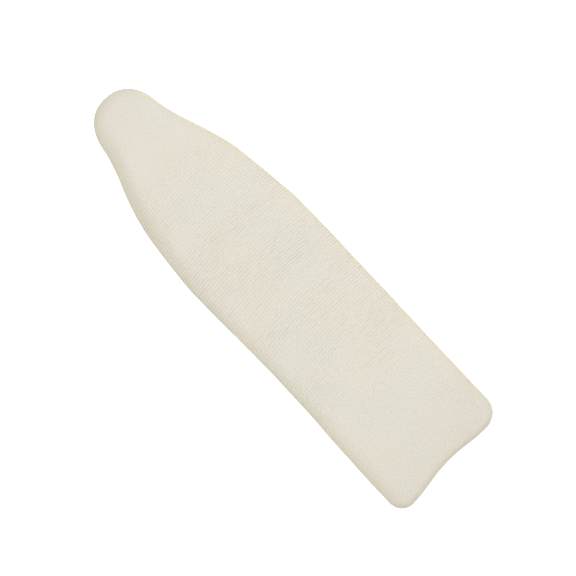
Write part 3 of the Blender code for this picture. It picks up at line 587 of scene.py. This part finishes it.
def outward_normals(loop):
    """Unit vectors out from a closed loop, square to it at each of its points."""
    ahead = np.roll(loop, -1, 0) - loop
    behind = loop - np.roll(loop, 1, 0)
    long_ahead = np.linalg.norm(ahead, axis=1, keepdims=True)
    long_behind = np.linalg.norm(behind, axis=1, keepdims=True)
    along = ahead / long_ahead * long_behind + behind / long_behind * long_ahead
    along /= np.linalg.norm(along, axis=1, keepdims=True)
    return np.stack((along[:, 1], -along[:, 0]), 1)


OUTWARD = outward_normals(EDGE)


def edge_bend():
    """How tightly the edge turns at each station, 0 where straight and 1 at the corners."""
    heading = np.unwrap(np.arctan2(OUTWARD[:, 1], OUTWARD[:, 0]))
    turned = np.abs(np.roll(heading, -BEND_REACH) - np.roll(heading, BEND_REACH))
    turned = np.minimum(turned, math.tau - turned)
    spans = np.abs(np.roll(AROUND, -BEND_REACH) - np.roll(AROUND, BEND_REACH))
    spans = np.minimum(spans, AROUND[-1] - spans)
    bend = turned / np.maximum(spans, STEP) * LEFT_CORNER
    weights = np.hanning(2 * BEND_BLUR + 1)
    padded = np.concatenate((bend[-BEND_BLUR:], bend, bend[:BEND_BLUR]))
    return np.clip(np.convolve(padded, weights / weights.sum(), "valid"), 0, 1)


def gathers():
    """Pleats that the elastic draws round the hem: -1 to 1 at each station, and their depth."""
    line = on_line(AROUND)
    warp = wander(line, size=0.030, seed=11) * 1.6
    waves = np.sin(AROUND / PLEAT_PITCH * math.tau + warp * 3) * 0.6
    waves += np.sin(AROUND / SLOW_PLEAT_PITCH * math.tau + warp * 2 + 1.3) * 0.4
    depth = 0.25 + 0.75 * smoothstep(edge_bend() * 1.6)
    return waves, depth + 0.10 * wander(line, size=0.045, seed=12)


PLEAT, PLEAT_DEPTH = gathers()


# ---------------------------------------------------------------- cover
def outside_profile():
    """(inset, height, normal's outward part, its upward part) from the roll down to the hem."""
    rows = []
    for angle in np.radians(np.linspace(0, 90, ROLL_RINGS)):
        normal = Vector((math.sin(angle) / ROLL_IN, math.cos(angle) / ROLL_DOWN)).normalized()
        inset, fall = ROLL_IN * (1 - math.sin(angle)), ROLL_DOWN * (1 - math.cos(angle))
        rows.append((inset, TOP - fall, *normal))
    for z in np.linspace(TOP - ROLL_DOWN, BOTTOM + HEM_ROUND, SIDE_RINGS)[1:-1]:
        rows.append((0.0, z, 1.0, 0.0))
    for angle in np.radians(np.linspace(0, 90, HEM_ROUND_RINGS)):
        inset, fall = HEM_ROUND * (1 - math.cos(angle)), HEM_ROUND * math.sin(angle)
        rows.append((inset, BOTTOM + HEM_ROUND - fall, math.cos(angle), -math.sin(angle)))
    for inset in np.linspace(HEM_ROUND, HEM_WIDTH, HEM_RINGS)[1:]:
        rows.append((inset, BOTTOM, 0.0, -1.0))
    return np.array(rows)


def inside_profile():
    """(inset, height) from the hem's folded edge back to the start of the roll, on the inside."""
    rows = [(HEM_WIDTH + CLOTH * 0.35, BOTTOM + CLOTH * 0.5), (HEM_WIDTH, BOTTOM + CLOTH)]
    rows += [(CLOTH, BOTTOM + CLOTH), (CLOTH, TOP - ROLL_DOWN)]
    across, down = ROLL_IN - CLOTH, ROLL_DOWN - CLOTH
    for angle in np.radians((60, 30, 0)):
        inset, fall = across * (1 - math.sin(angle)), down * (1 - math.cos(angle))
        rows.append((CLOTH + inset, TOP - CLOTH - fall))
    return rows


def rib_pattern(cloth):
    """The ribs at points of the flat cloth: their phase in turns, and their depth from 0 to 1."""
    y = cloth[:, 1]
    from_nose = NOSE_X - cloth[:, 0]
    drift = RIB_DRIFT * wander(cloth, size=0.050, seed=1)
    drift += RIB_JITTER * wander(cloth, size=0.014, seed=2)
    bow = RIB_BOW * RIB_BOW_WIDTH**2 * (np.sqrt(1 + (y / RIB_BOW_WIDTH) ** 2) - 1)
    lean = RIB_LEAN * smoothstep((from_nose - LEAN_START) / LEAN_RISE)
    phase = (drift + bow + lean * y - from_nose) / RIB_PITCH
    phase -= RIB_CROWDING * np.maximum(from_nose - CROWDING_START, 0.0) ** 2
    patchy = 0.76 + 0.28 * wander(cloth * (1.0, 0.6), size=0.022, seed=3)
    past_nose = smoothstep((from_nose - NOSE_RIBS_START) / NOSE_RIBS_RISE)
    into_tail = smoothstep((from_nose - TAIL_RIBS_START) / TAIL_RIBS_FALL)
    nose = NOSE_DEPTH + (1 - NOSE_DEPTH) * past_nose
    tail = 1 - into_tail * np.clip(0.6 + 6.0 * y, 0.3, 0.9)  # they fade most on the left
    return phase, patchy * nose * tail


def fullness(place):
    """How far the padding stands up behind the nose: a shelf, with a ridge inside its left edge."""
    x, y = place.T
    half = COUNT // 2
    left_edge, right_edge = EDGE[:half], EDGE[half:][::-1]
    from_nose = NOSE_X - x
    left = np.interp(-x, -left_edge[:, 0], left_edge[:, 1]) - y
    right = np.interp(-x, -right_edge[:, 0], -right_edge[:, 1]) + y
    shelf = SHELF_HEIGHT * smoothstep(left / SHELF_LEFT) * smoothstep(right / SHELF_RIGHT)
    off = left / RIDGE_INSET - 1
    ridge = RIDGE_HEIGHT * smoothstep(1 + off) * smoothstep(1 - off / RIDGE_REACH)
    rise = smoothstep((from_nose - SHELF_START) / SHELF_RISE)
    fall = smoothstep((SHELF_END - from_nose) / SHELF_FALL)
    return (shelf + ridge) * rise * fall


def hem_fall(inset):
    """How far the gathers let the hem's underside hang below the flat, at each station."""
    return smoothstep(inset / HEM_WIDTH) * PLEAT_DEPTH * (HEM_SLACK + HEM_WAVE * PLEAT)


def outer_rings():
    """The rolled edge, side and hem: points, their normals and their places on the flat cloth."""
    profile = outside_profile()
    start = EDGE - OUTWARD * ROLL_IN
    gone = distance_along(profile[:, :2])
    points, normals, cloth = [], [], []
    wavy = EDGE_WAVER * wander(on_line(AROUND), size=0.028, seed=21)
    tight = TAIL_TIGHTNESS * smoothstep(-OUTWARD[:, 0])
    for (inset, z, out, up), t in zip(profile, gone):
        side = smoothstep((TOP - z) / ROLL_DOWN)
        pleated = smoothstep((TOP - z - PLEAT_START) / PLEAT_RISE) * max(out, 0.0)
        pleat = PLEAT_SWELL * PLEAT * PLEAT_DEPTH * pleated
        flat = EDGE + OUTWARD * (wavy * side + pleat - inset)[:, None]
        height = np.full(COUNT, z)
        if up > 0:
            height = height + tight * (TOP - z) * smoothstep(inset / TIGHT_INSET)
        if up < -0.5:
            height = height - hem_fall(inset)
        points.append(np.column_stack((flat, height)))
        normals.append(np.column_stack((OUTWARD * out, np.full(COUNT, up))))
        cloth.append(start + OUTWARD * t)
    return np.array(points), np.array(normals), np.array(cloth)


def top_grid(border):
    """Points (x, y) inside border, row by row between paired stations, and how high each crowns.

    The rows at either end bend to the curve of the nose or the tail.
    """
    ends = COLUMNS // 2
    across = np.linspace(0, 1, COLUMNS + 1)[None, :, None]
    row = np.arange(ROWS + 1)
    left, right = border[ends + row][:, None], border[-(ends + row)][:, None]
    grid = left * (1 - across) + right * across
    front = border[ends - np.arange(COLUMNS + 1)]
    rear = border[ends + ROWS + np.arange(COLUMNS + 1)]
    fade_front = (1 - smoothstep(row / FADE_ROWS))[:, None, None]
    fade_rear = (1 - smoothstep((ROWS - row) / FADE_ROWS))[:, None, None]
    grid = grid + fade_front * (front - grid[0]) + fade_rear * (rear - grid[-1])
    bulge = 1 - (2 * across[0, :, 0] - 1) ** 2
    crown = bulge[None] * (1 - fade_front[:, :, 0]) * (1 - fade_rear[:, :, 0])
    return grid, crown


def outside_points():
    """The cover's outside: its points, their places on the flat cloth, and how many are the top's.

    The rolled edge, side and hem come first, ring by ring, and the top's inner grid after them.
    """
    rings, ring_normals, ring_cloth = outer_rings()
    grid, crown = top_grid(rings[0][:, :2])
    inner = grid[1:-1, 1:-1].reshape(-1, 2)
    inner_points = np.column_stack((inner, TOP + CROWN * crown[1:-1, 1:-1].ravel()))
    points = np.concatenate((rings.reshape(-1, 3), inner_points))
    up = np.tile((0.0, 0.0, 1.0), (len(inner), 1))
    normals = np.concatenate((ring_normals.reshape(-1, 3), up))
    cloth = np.concatenate((ring_cloth.reshape(-1, 2), inner))

    phase, depth = rib_pattern(cloth)
    swell = PAD_SWELL * wander(cloth, size=0.042, seed=5)
    swell += PAD_DIMPLE * wander(cloth, size=0.013, seed=6)
    ribs = RIB_HEIGHT * depth * (0.5 + 0.5 * np.cos(phase * math.tau)) - RIB_HEIGHT
    points += normals * (ribs + swell)[:, None]
    points[:, 2] += fullness(points[:, :2]) * np.maximum(normals[:, 2], 0.0)
    return points, cloth, len(inner)


def inside_rings():
    """The cover's inside: the hem's thickness, and back under the top."""
    lining = inside_profile()
    rings = [np.column_stack((EDGE - OUTWARD * inset, np.full(COUNT, z))) for inset, z in lining]
    for ring, (inset, _) in zip(rings[:3], lining):
        ring[:, 2] -= hem_fall(inset)
    return rings


def top_faces(first_inner):
    """Quads between the first ring and the inner grid, whose points start at first_inner."""
    ids = np.empty((ROWS + 1, COLUMNS + 1), int)
    ends = COLUMNS // 2
    row, column = np.arange(ROWS + 1), np.arange(COLUMNS + 1)
    inner_count = (ROWS - 1) * (COLUMNS - 1)
    ids[1:-1, 1:-1] = first_inner + np.arange(inner_count).reshape(ROWS - 1, COLUMNS - 1)
    ids[:, 0] = ends + row
    ids[:, -1] = COUNT - (ends + row)
    ids[0] = (ends - column) % COUNT
    ids[-1] = ends + ROWS + column
    a, b = ids[:-1, :-1], ids[:-1, 1:]
    c, d = ids[1:, 1:], ids[1:, :-1]
    return np.stack((a, d, c, b), -1).reshape(-1, 4)


def make_cover(material):
    """One closed cloth shell: a gridded top, its rolled edge and side, the hem and the inside."""
    outside, cloth, inner_count = outside_points()
    inside = inside_rings()
    points = np.concatenate((outside, *inside))

    ring_count = len(outside_profile())
    top = top_faces(ring_count * COUNT)
    side = ring_faces(ring_count, COUNT)[:, ::-1]
    step = np.arange(COUNT)
    after = (step + 1) % COUNT
    last_ring, lining = (ring_count - 1) * COUNT, len(outside)
    fold = (lining + step, lining + after, last_ring + after, last_ring + step)
    back = ring_faces(len(inside), COUNT)[:, ::-1] + lining
    ceiling = cap(lining + (len(inside) - 1) * COUNT, COUNT)[::-1]
    faces = np.concatenate((top, side, np.stack(fold, 1), back)).tolist() + [ceiling]
    cover = add_piece("cotton_cover", points, faces, "deck", material)

    cloth = np.concatenate((cloth, points[lining:, :2]))
    phase, depth = rib_pattern(cloth)
    depth[lining:] *= 0.5
    inset, height = outside_profile()[:, :2].T
    # Painted warm shade: rising towards the edge on the roll, full on the side, the hem and the
    # inside
    edge_shade = smoothstep(1 - inset[:, None] / (EDGE_SHADE_WIDTH + EDGE_SHADE_LEAN * OUTWARD[:, 1]))
    edge_shade[height < TOP - ROLL_DOWN] = 1.0
    inside_shade = np.ones(len(points) - lining)
    edge = np.concatenate((edge_shade.ravel(), np.zeros(inner_count), inside_shade))
    add_attribute(cover, "cloth", np.column_stack((cloth, np.zeros(len(cloth)))))
    add_attribute(cover, "rib_phase", phase)
    add_attribute(cover, "rib_depth", depth)
    add_attribute(cover, "edge", edge)
    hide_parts("cover")
    return cover


STITCH_INSET = 0.0060
STITCH_LENGTH = 0.0026
STITCH_PITCH = 0.0033
STITCH_WIDTH = 0.00055
STITCH_PROUD = 0.0001  # of the hem's underside
STITCH_DIP = 0.0003  # how far its ends go up into the cloth
STITCH_SIDES = 6
STITCH_RINGS = 7
HEADING_REACH = 0.001  # to each side of a stitch, over which the hem's direction is measured


def make_stitches(material):
    """A row of lockstitches round the hem's underside, beside the elastic's casing."""
    line = EDGE - OUTWARD * STITCH_INSET
    line = np.concatenate((line, line[:1]))
    around = distance_along(line)
    fall = hem_fall(STITCH_INSET)
    fall = np.append(fall, fall[0])
    total = around[-1]

    def at(s):
        s = s % total
        return np.array((np.interp(s, around, line[:, 0]), np.interp(s, around, line[:, 1])))

    angle = np.arange(STITCH_SIDES) / STITCH_SIDES * math.tau
    one_stitch = STITCH_SIDES * STITCH_RINGS
    points, sides, ends = [], [], []
    for index in range(int(total / STITCH_PITCH)):
        s = index * STITCH_PITCH
        ahead = at(s + HEADING_REACH) - at(s - HEADING_REACH)
        ahead /= np.linalg.norm(ahead)
        across = np.array((-ahead[1], ahead[0]))
        z = BOTTOM - np.interp(s, around, fall) - STITCH_PROUD
        for u in np.linspace(-1, 1, STITCH_RINGS):
            girth = STITCH_WIDTH / 2 * max(1 - u**4, 0.04) ** 0.5
            centre = at(s) + ahead * u * STITCH_LENGTH / 2
            ring = centre + np.outer(np.cos(angle), across) * girth
            height = z + STITCH_DIP * u * u + np.sin(angle) * girth
            points.append(np.column_stack((ring, height)))
        first = index * one_stitch
        sides.append(ring_faces(STITCH_RINGS, STITCH_SIDES) + first)
        ends.append(cap(first, STITCH_SIDES)[::-1])
        ends.append(cap(first + one_stitch - STITCH_SIDES, STITCH_SIDES))
    faces = np.concatenate(sides).tolist() + ends
    return add_piece("hem_stitches", np.concatenate(points), faces, "deck", material)


# ---------------------------------------------------------------- pad and elastic
FELT_FRAY = 0.0002
FELT_FOOT = 0.0008  # how far its edge tucks in where it meets the board
PAD_SPACING = 4  # every so many stations


def make_pad(material):
    """Needled felt with a slightly uneven, rounded edge, lying on the deck board."""
    low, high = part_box("felt_pad")
    edge, outward = EDGE[::PAD_SPACING], OUTWARD[::PAD_SPACING]
    count = len(edge)
    at_edge = COVER_HIGH[1] - high.y
    fray = FELT_FRAY * (1 + wander(on_line(AROUND[::PAD_SPACING]), size=0.006, seed=31))
    across, down = ROLL_IN - CLOTH, ROLL_DOWN - CLOTH
    foot = math.degrees(math.acos(1 - (high.z - low.z) / down))  # where its roll meets the board
    profile = []
    for angle in np.radians((foot, foot - 7, foot - 20, 35, 20, 8)):
        inset, fall = across * (1 - math.sin(angle)), down * (1 - math.cos(angle))
        profile.append((at_edge + inset, high.z - fall))
    profile[0] = (profile[0][0] + FELT_FOOT, low.z)
    rings = []
    for inset, z in profile:
        flat = edge - outward * (inset + fray)[:, None]
        rings.append(np.column_stack((flat, np.full(count, z))))
    faces = ring_faces(len(rings), count).tolist()
    faces += [cap(0, count)[::-1], cap((len(rings) - 1) * count, count)]
    pad = add_piece("felt_layer", np.concatenate(rings), faces, "deck", material)
    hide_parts("felt_pad")


ELASTIC_WIDTH = 0.006
ELASTIC_CORDS = 5
ELASTIC_GROOVE = 0.00018  # between its cords
ELASTIC_SPACING = 2  # every so many stations


def make_elastic(material):
    """A flat braided band all round the hem, with cords along it."""
    low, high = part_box("hem_elastic")
    outer = COVER_HIGH[1] - high.y
    edge, outward = EDGE[::ELASTIC_SPACING], OUTWARD[::ELASTIC_SPACING]
    count = len(edge)
    steps = np.linspace(0, 1, ELASTIC_CORDS * 4 + 1)
    cord = np.sin(steps * ELASTIC_CORDS * math.pi) ** 2
    inset, groove = outer + steps * ELASTIC_WIDTH, ELASTIC_GROOVE * (1 - cord)
    upper = list(zip(inset, high.z - groove, cord))
    lower = list(zip(inset, low.z + groove, cord))[::-1]
    profile = upper + lower
    rings = []
    for inset, z, _ in profile:
        rings.append(np.column_stack((edge - outward * inset, np.full(count, z))))
    faces = ring_faces(len(profile), count, closed=True).tolist()
    band = add_piece("elastic_band", np.concatenate(rings), faces, "deck", material)
    add_attribute(band, "cord", np.repeat([c for *_, c in profile], count))
    add_attribute(band, "along", np.tile(AROUND[::ELASTIC_SPACING], len(profile)))
    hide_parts("hem_elastic")


# ---------------------------------------------------------------- clamp knob
KNOB_LOBES = 6
LOBE_DEPTH = 0.0021
LOBE_SHARPNESS = 1.5
KNOB_STEPS = 120
KNOB_BORE = 0.0053
BORE_SPARE = 0.0003  # how much deeper it is than its insert


def knob_profile(radius, thickness):
    """(radius, distance out from the washer's face, share of the lobes' depth)."""
    return [
        (KNOB_BORE, 0.0, 0.0),
        (0.0078, 0.0, 0.0),
        (0.0084, 0.0004, 0.0),
        (0.0084, 0.0028, 0.0),
        (0.0092, 0.0036, 0.3),
        (radius - 0.0016, 0.0043, 0.8),
        (radius - 0.0006, 0.0052, 1.0),
        (radius, 0.0066, 1.0),
        (radius, thickness - 0.0042, 1.0),
        (radius - 0.0004, thickness - 0.0026, 1.0),
        (radius - 0.0013, thickness - 0.0012, 0.9),
        (radius - 0.0026, thickness - 0.0003, 0.7),
        (radius - 0.0038, thickness, 0.5),
        (0.0078, thickness - 0.0001, 0.2),
        (0.0070, thickness - 0.0009, 0.0),
        (0.0052, thickness - 0.0012, 0.0),
        (0.0046, thickness - 0.0007, 0.0),
        (0.0038, thickness - 0.0003, 0.0),
        (0.0015, thickness - 0.0001, 0.0),
    ]


def make_knob(material):
    """Six-lobed hand knob: skirt, softly lobed grip and a dished face with a raised button."""
    low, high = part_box("clamp_knob")
    centre = (low + high) / 2
    bore_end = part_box("knob_insert")[1].y + BORE_SPARE
    angle = np.arange(KNOB_STEPS) / KNOB_STEPS * math.tau
    lobe = (0.5 - 0.5 * np.cos(KNOB_LOBES * angle)) ** LOBE_SHARPNESS

    def ring(radius, y):
        x, z = centre.x + radius * np.cos(angle), centre.z + radius * np.sin(angle)
        return np.column_stack((x, np.full(KNOB_STEPS, y), z))

    rings = [ring(KNOB_BORE, bore_end)]
    for reach, out, share in knob_profile((high.x - low.x) / 2, high.y - low.y):
        rings.append(ring(reach - LOBE_DEPTH * share * lobe, low.y + out))
    faces = ring_faces(len(rings), KNOB_STEPS)[:, ::-1].tolist()
    faces += [cap(0, KNOB_STEPS), cap((len(rings) - 1) * KNOB_STEPS, KNOB_STEPS)[::-1]]
    knob = add_piece("hand_knob", np.concatenate(rings), faces, "knob", material)
    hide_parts("clamp_knob")


# ---------------------------------------------------------------- carried-over CAD nodes
def soften(obj, width):
    """Rounds a CAD node's sharp edges a little with modifiers, and shades the rest smooth.

    The flat faces are joined and split twice, since the first time leaves long edges close by
    the holes.
    """
    mesh = obj.data
    mesh.polygons.foreach_set("use_smooth", [True] * len(mesh.polygons))
    for name in ("custom_normal", "sharp_face", "sharp_edge"):
        if name in mesh.attributes:
            mesh.attributes.remove(mesh.attributes[name])
    weld = obj.modifiers.new("Weld", "WELD")
    weld.merge_threshold = WELD_DISTANCE
    for _ in range(2):
        flat = obj.modifiers.new("Flat faces", "DECIMATE")
        flat.decimate_type = "DISSOLVE"
        flat.angle_limit = FLAT_ANGLE
        split = obj.modifiers.new("Small faces", "TRIANGULATE")
        split.min_vertices = 5
    bevel = obj.modifiers.new("Bevel", "BEVEL")
    bevel.loop_slide = False
    bevel.width = width
    bevel.segments = 2
    bevel.limit_method = "ANGLE"
    bevel.angle_limit = SHARP_ANGLE
    bevel.harden_normals = True


def board_finish(node, name, plies, seed):
    low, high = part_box(node)
    return plywood(name, low.z, plies, high.z - low.z, seed)


def finish_nodes(materials):
    """Gives each CAD node that shows its finish and its rounded edges."""
    edges = {"rubber": RUBBER_EDGE, "wood": WOOD_EDGE, "nylon": NYLON_EDGE}
    boards = {
        "deck_board": board_finish("deck_board", "deck_plywood", DECK_PLIES, seed=0.0),
        "base_board": board_finish("base_board", "base_plywood", BASE_PLIES, seed=2.0),
    }
    for name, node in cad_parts.items():
        if node.hide_render:
            continue
        for holder in node.material_slots:
            kind = holder.material.name.split(".")[0]
            holder.material = boards.get(name) or materials[kind]
        soften(node, SCREW_EDGE if "screw" in name else edges.get(kind, METAL_EDGE))


# ---------------------------------------------------------------- stage, light, camera
FLOOR_SIZE = 20.0  # from the middle to each side
FLOOR_DROP = 0.0005  # below the board's feet
WALL_RADIUS = 19.0
WALL_HEIGHT = 12.0
WALL_COLUMNS = 96


def add_stage(name, points, faces, material):
    mesh = bpy.data.meshes.new(name)
    mesh.from_pydata(points, [], faces)
    mesh.materials.append(material)
    obj = bpy.data.objects.new(name, mesh)
    bpy.context.scene.collection.objects.link(obj)
    return obj


def make_stage():
    """A pale floor, and a pale wall far round the board, so that low views have no horizon.

    Only the camera sees the wall: it casts no shadow, light or reflection on the board.
    """
    f = Finish("pale_floor", Specular_IOR_Level=0.1, Roughness=0.9, Emission_Strength=0.8)
    tone = f.blend(f.noise(3.0), (0.90, 0.90, 0.90, 1.0), (0.92, 0.92, 0.915, 1.0))
    pale = f.finish(Base_Color=tone, Emission_Color=(1.0, 1.0, 1.0, 1.0))

    size = FLOOR_SIZE
    corners = [(-size, -size, 0), (size, -size, 0), (size, size, 0), (-size, size, 0)]
    floor = add_stage("floor", corners, [cap(0, 4)], pale)
    floor.location.z = -FLOOR_DROP

    turn = np.arange(WALL_COLUMNS) * math.tau / WALL_COLUMNS
    ring = np.column_stack((np.cos(turn), np.sin(turn), np.zeros(WALL_COLUMNS))) * WALL_RADIUS
    points = np.concatenate((ring, ring + (0, 0, WALL_HEIGHT))).tolist()
    wall = add_stage("backdrop", points, ring_faces(2, WALL_COLUMNS).tolist(), pale)
    for rays in ("diffuse", "glossy", "transmission", "volume_scatter", "shadow"):
        setattr(wall, "visible_" + rays, False)


WORLD_STRENGTH = 0.36


def add_light(name, place, aim, size, power):
    light = bpy.data.lights.new(name, "AREA")
    light.shape = "DISK"
    light.size = size
    light.energy = power
    obj = bpy.data.objects.new(name, light)
    obj.location = place
    obj.rotation_euler = (Vector(aim) - Vector(place)).to_track_quat("-Z", "Y").to_euler()
    bpy.context.scene.collection.objects.link(obj)


def make_light():
    """A large soft key on the board's right flank, as in the photo, with an even fill."""
    world = bpy.data.worlds.new("studio")
    world.use_nodes = True
    background = world.node_tree.nodes["Background"]
    background.inputs["Color"].default_value = (1.0, 1.0, 1.0, 1.0)
    background.inputs["Strength"].default_value = WORLD_STRENGTH
    bpy.context.scene.world = world
    middle = (0.0, 0.0, TOP)
    add_light("key", place=(0.0, -0.75, 2.1), aim=middle, size=0.9, power=5.1)
    add_light("overhead", place=(0.01, -0.12, 1.2), aim=middle, size=1.1, power=8.3)


CAMERA_TURN = math.radians(-133.5)
CAMERA_CENTRE = (-0.0106, -0.0024)  # over this point of the board, from its middle
CAMERA_DISTANCE = 2.4  # over the foot of the cover's roll
VIEW_WIDTH = 0.5777  # across the picture, at that height
CAMERA_REACH = 20.0
SENSOR_WIDTH = 36.0  # millimetres


def make_camera():
    """Straight down on the deck, from far off, turned so that the nose is at the upper left."""
    camera = bpy.data.cameras.new("camera")
    camera.sensor_width = SENSOR_WIDTH
    camera.lens = camera.sensor_width * CAMERA_DISTANCE / VIEW_WIDTH
    camera.clip_end = CAMERA_REACH
    obj = bpy.data.objects.new("camera", camera)
    place = Matrix.Translation((*CAMERA_CENTRE, TOP - ROLL_DOWN + CAMERA_DISTANCE))
    obj.matrix_world = place @ Matrix.Rotation(CAMERA_TURN, 4, "Z")
    bpy.context.scene.collection.objects.link(obj)
    bpy.context.scene.camera = obj
    bpy.context.scene.view_settings.view_transform = "Standard"


def main():
    materials = {
        "steel": zinc_plate(),
        "rubber": moulded_rubber(),
        "nylon": natural_nylon(),
        "brass": turned_brass(),
        "plastic": satin_plastic(),
    }
    cover = make_cover(ribbed_cotton())
    stitches = make_stitches(sewing_thread())
    make_pad(needled_felt())
    make_elastic(woven_elastic())
    make_knob(materials["plastic"])
    finish_nodes(materials)
    make_stage()
    make_light()
    make_camera()
    bpy.context.view_layer.update()


main()
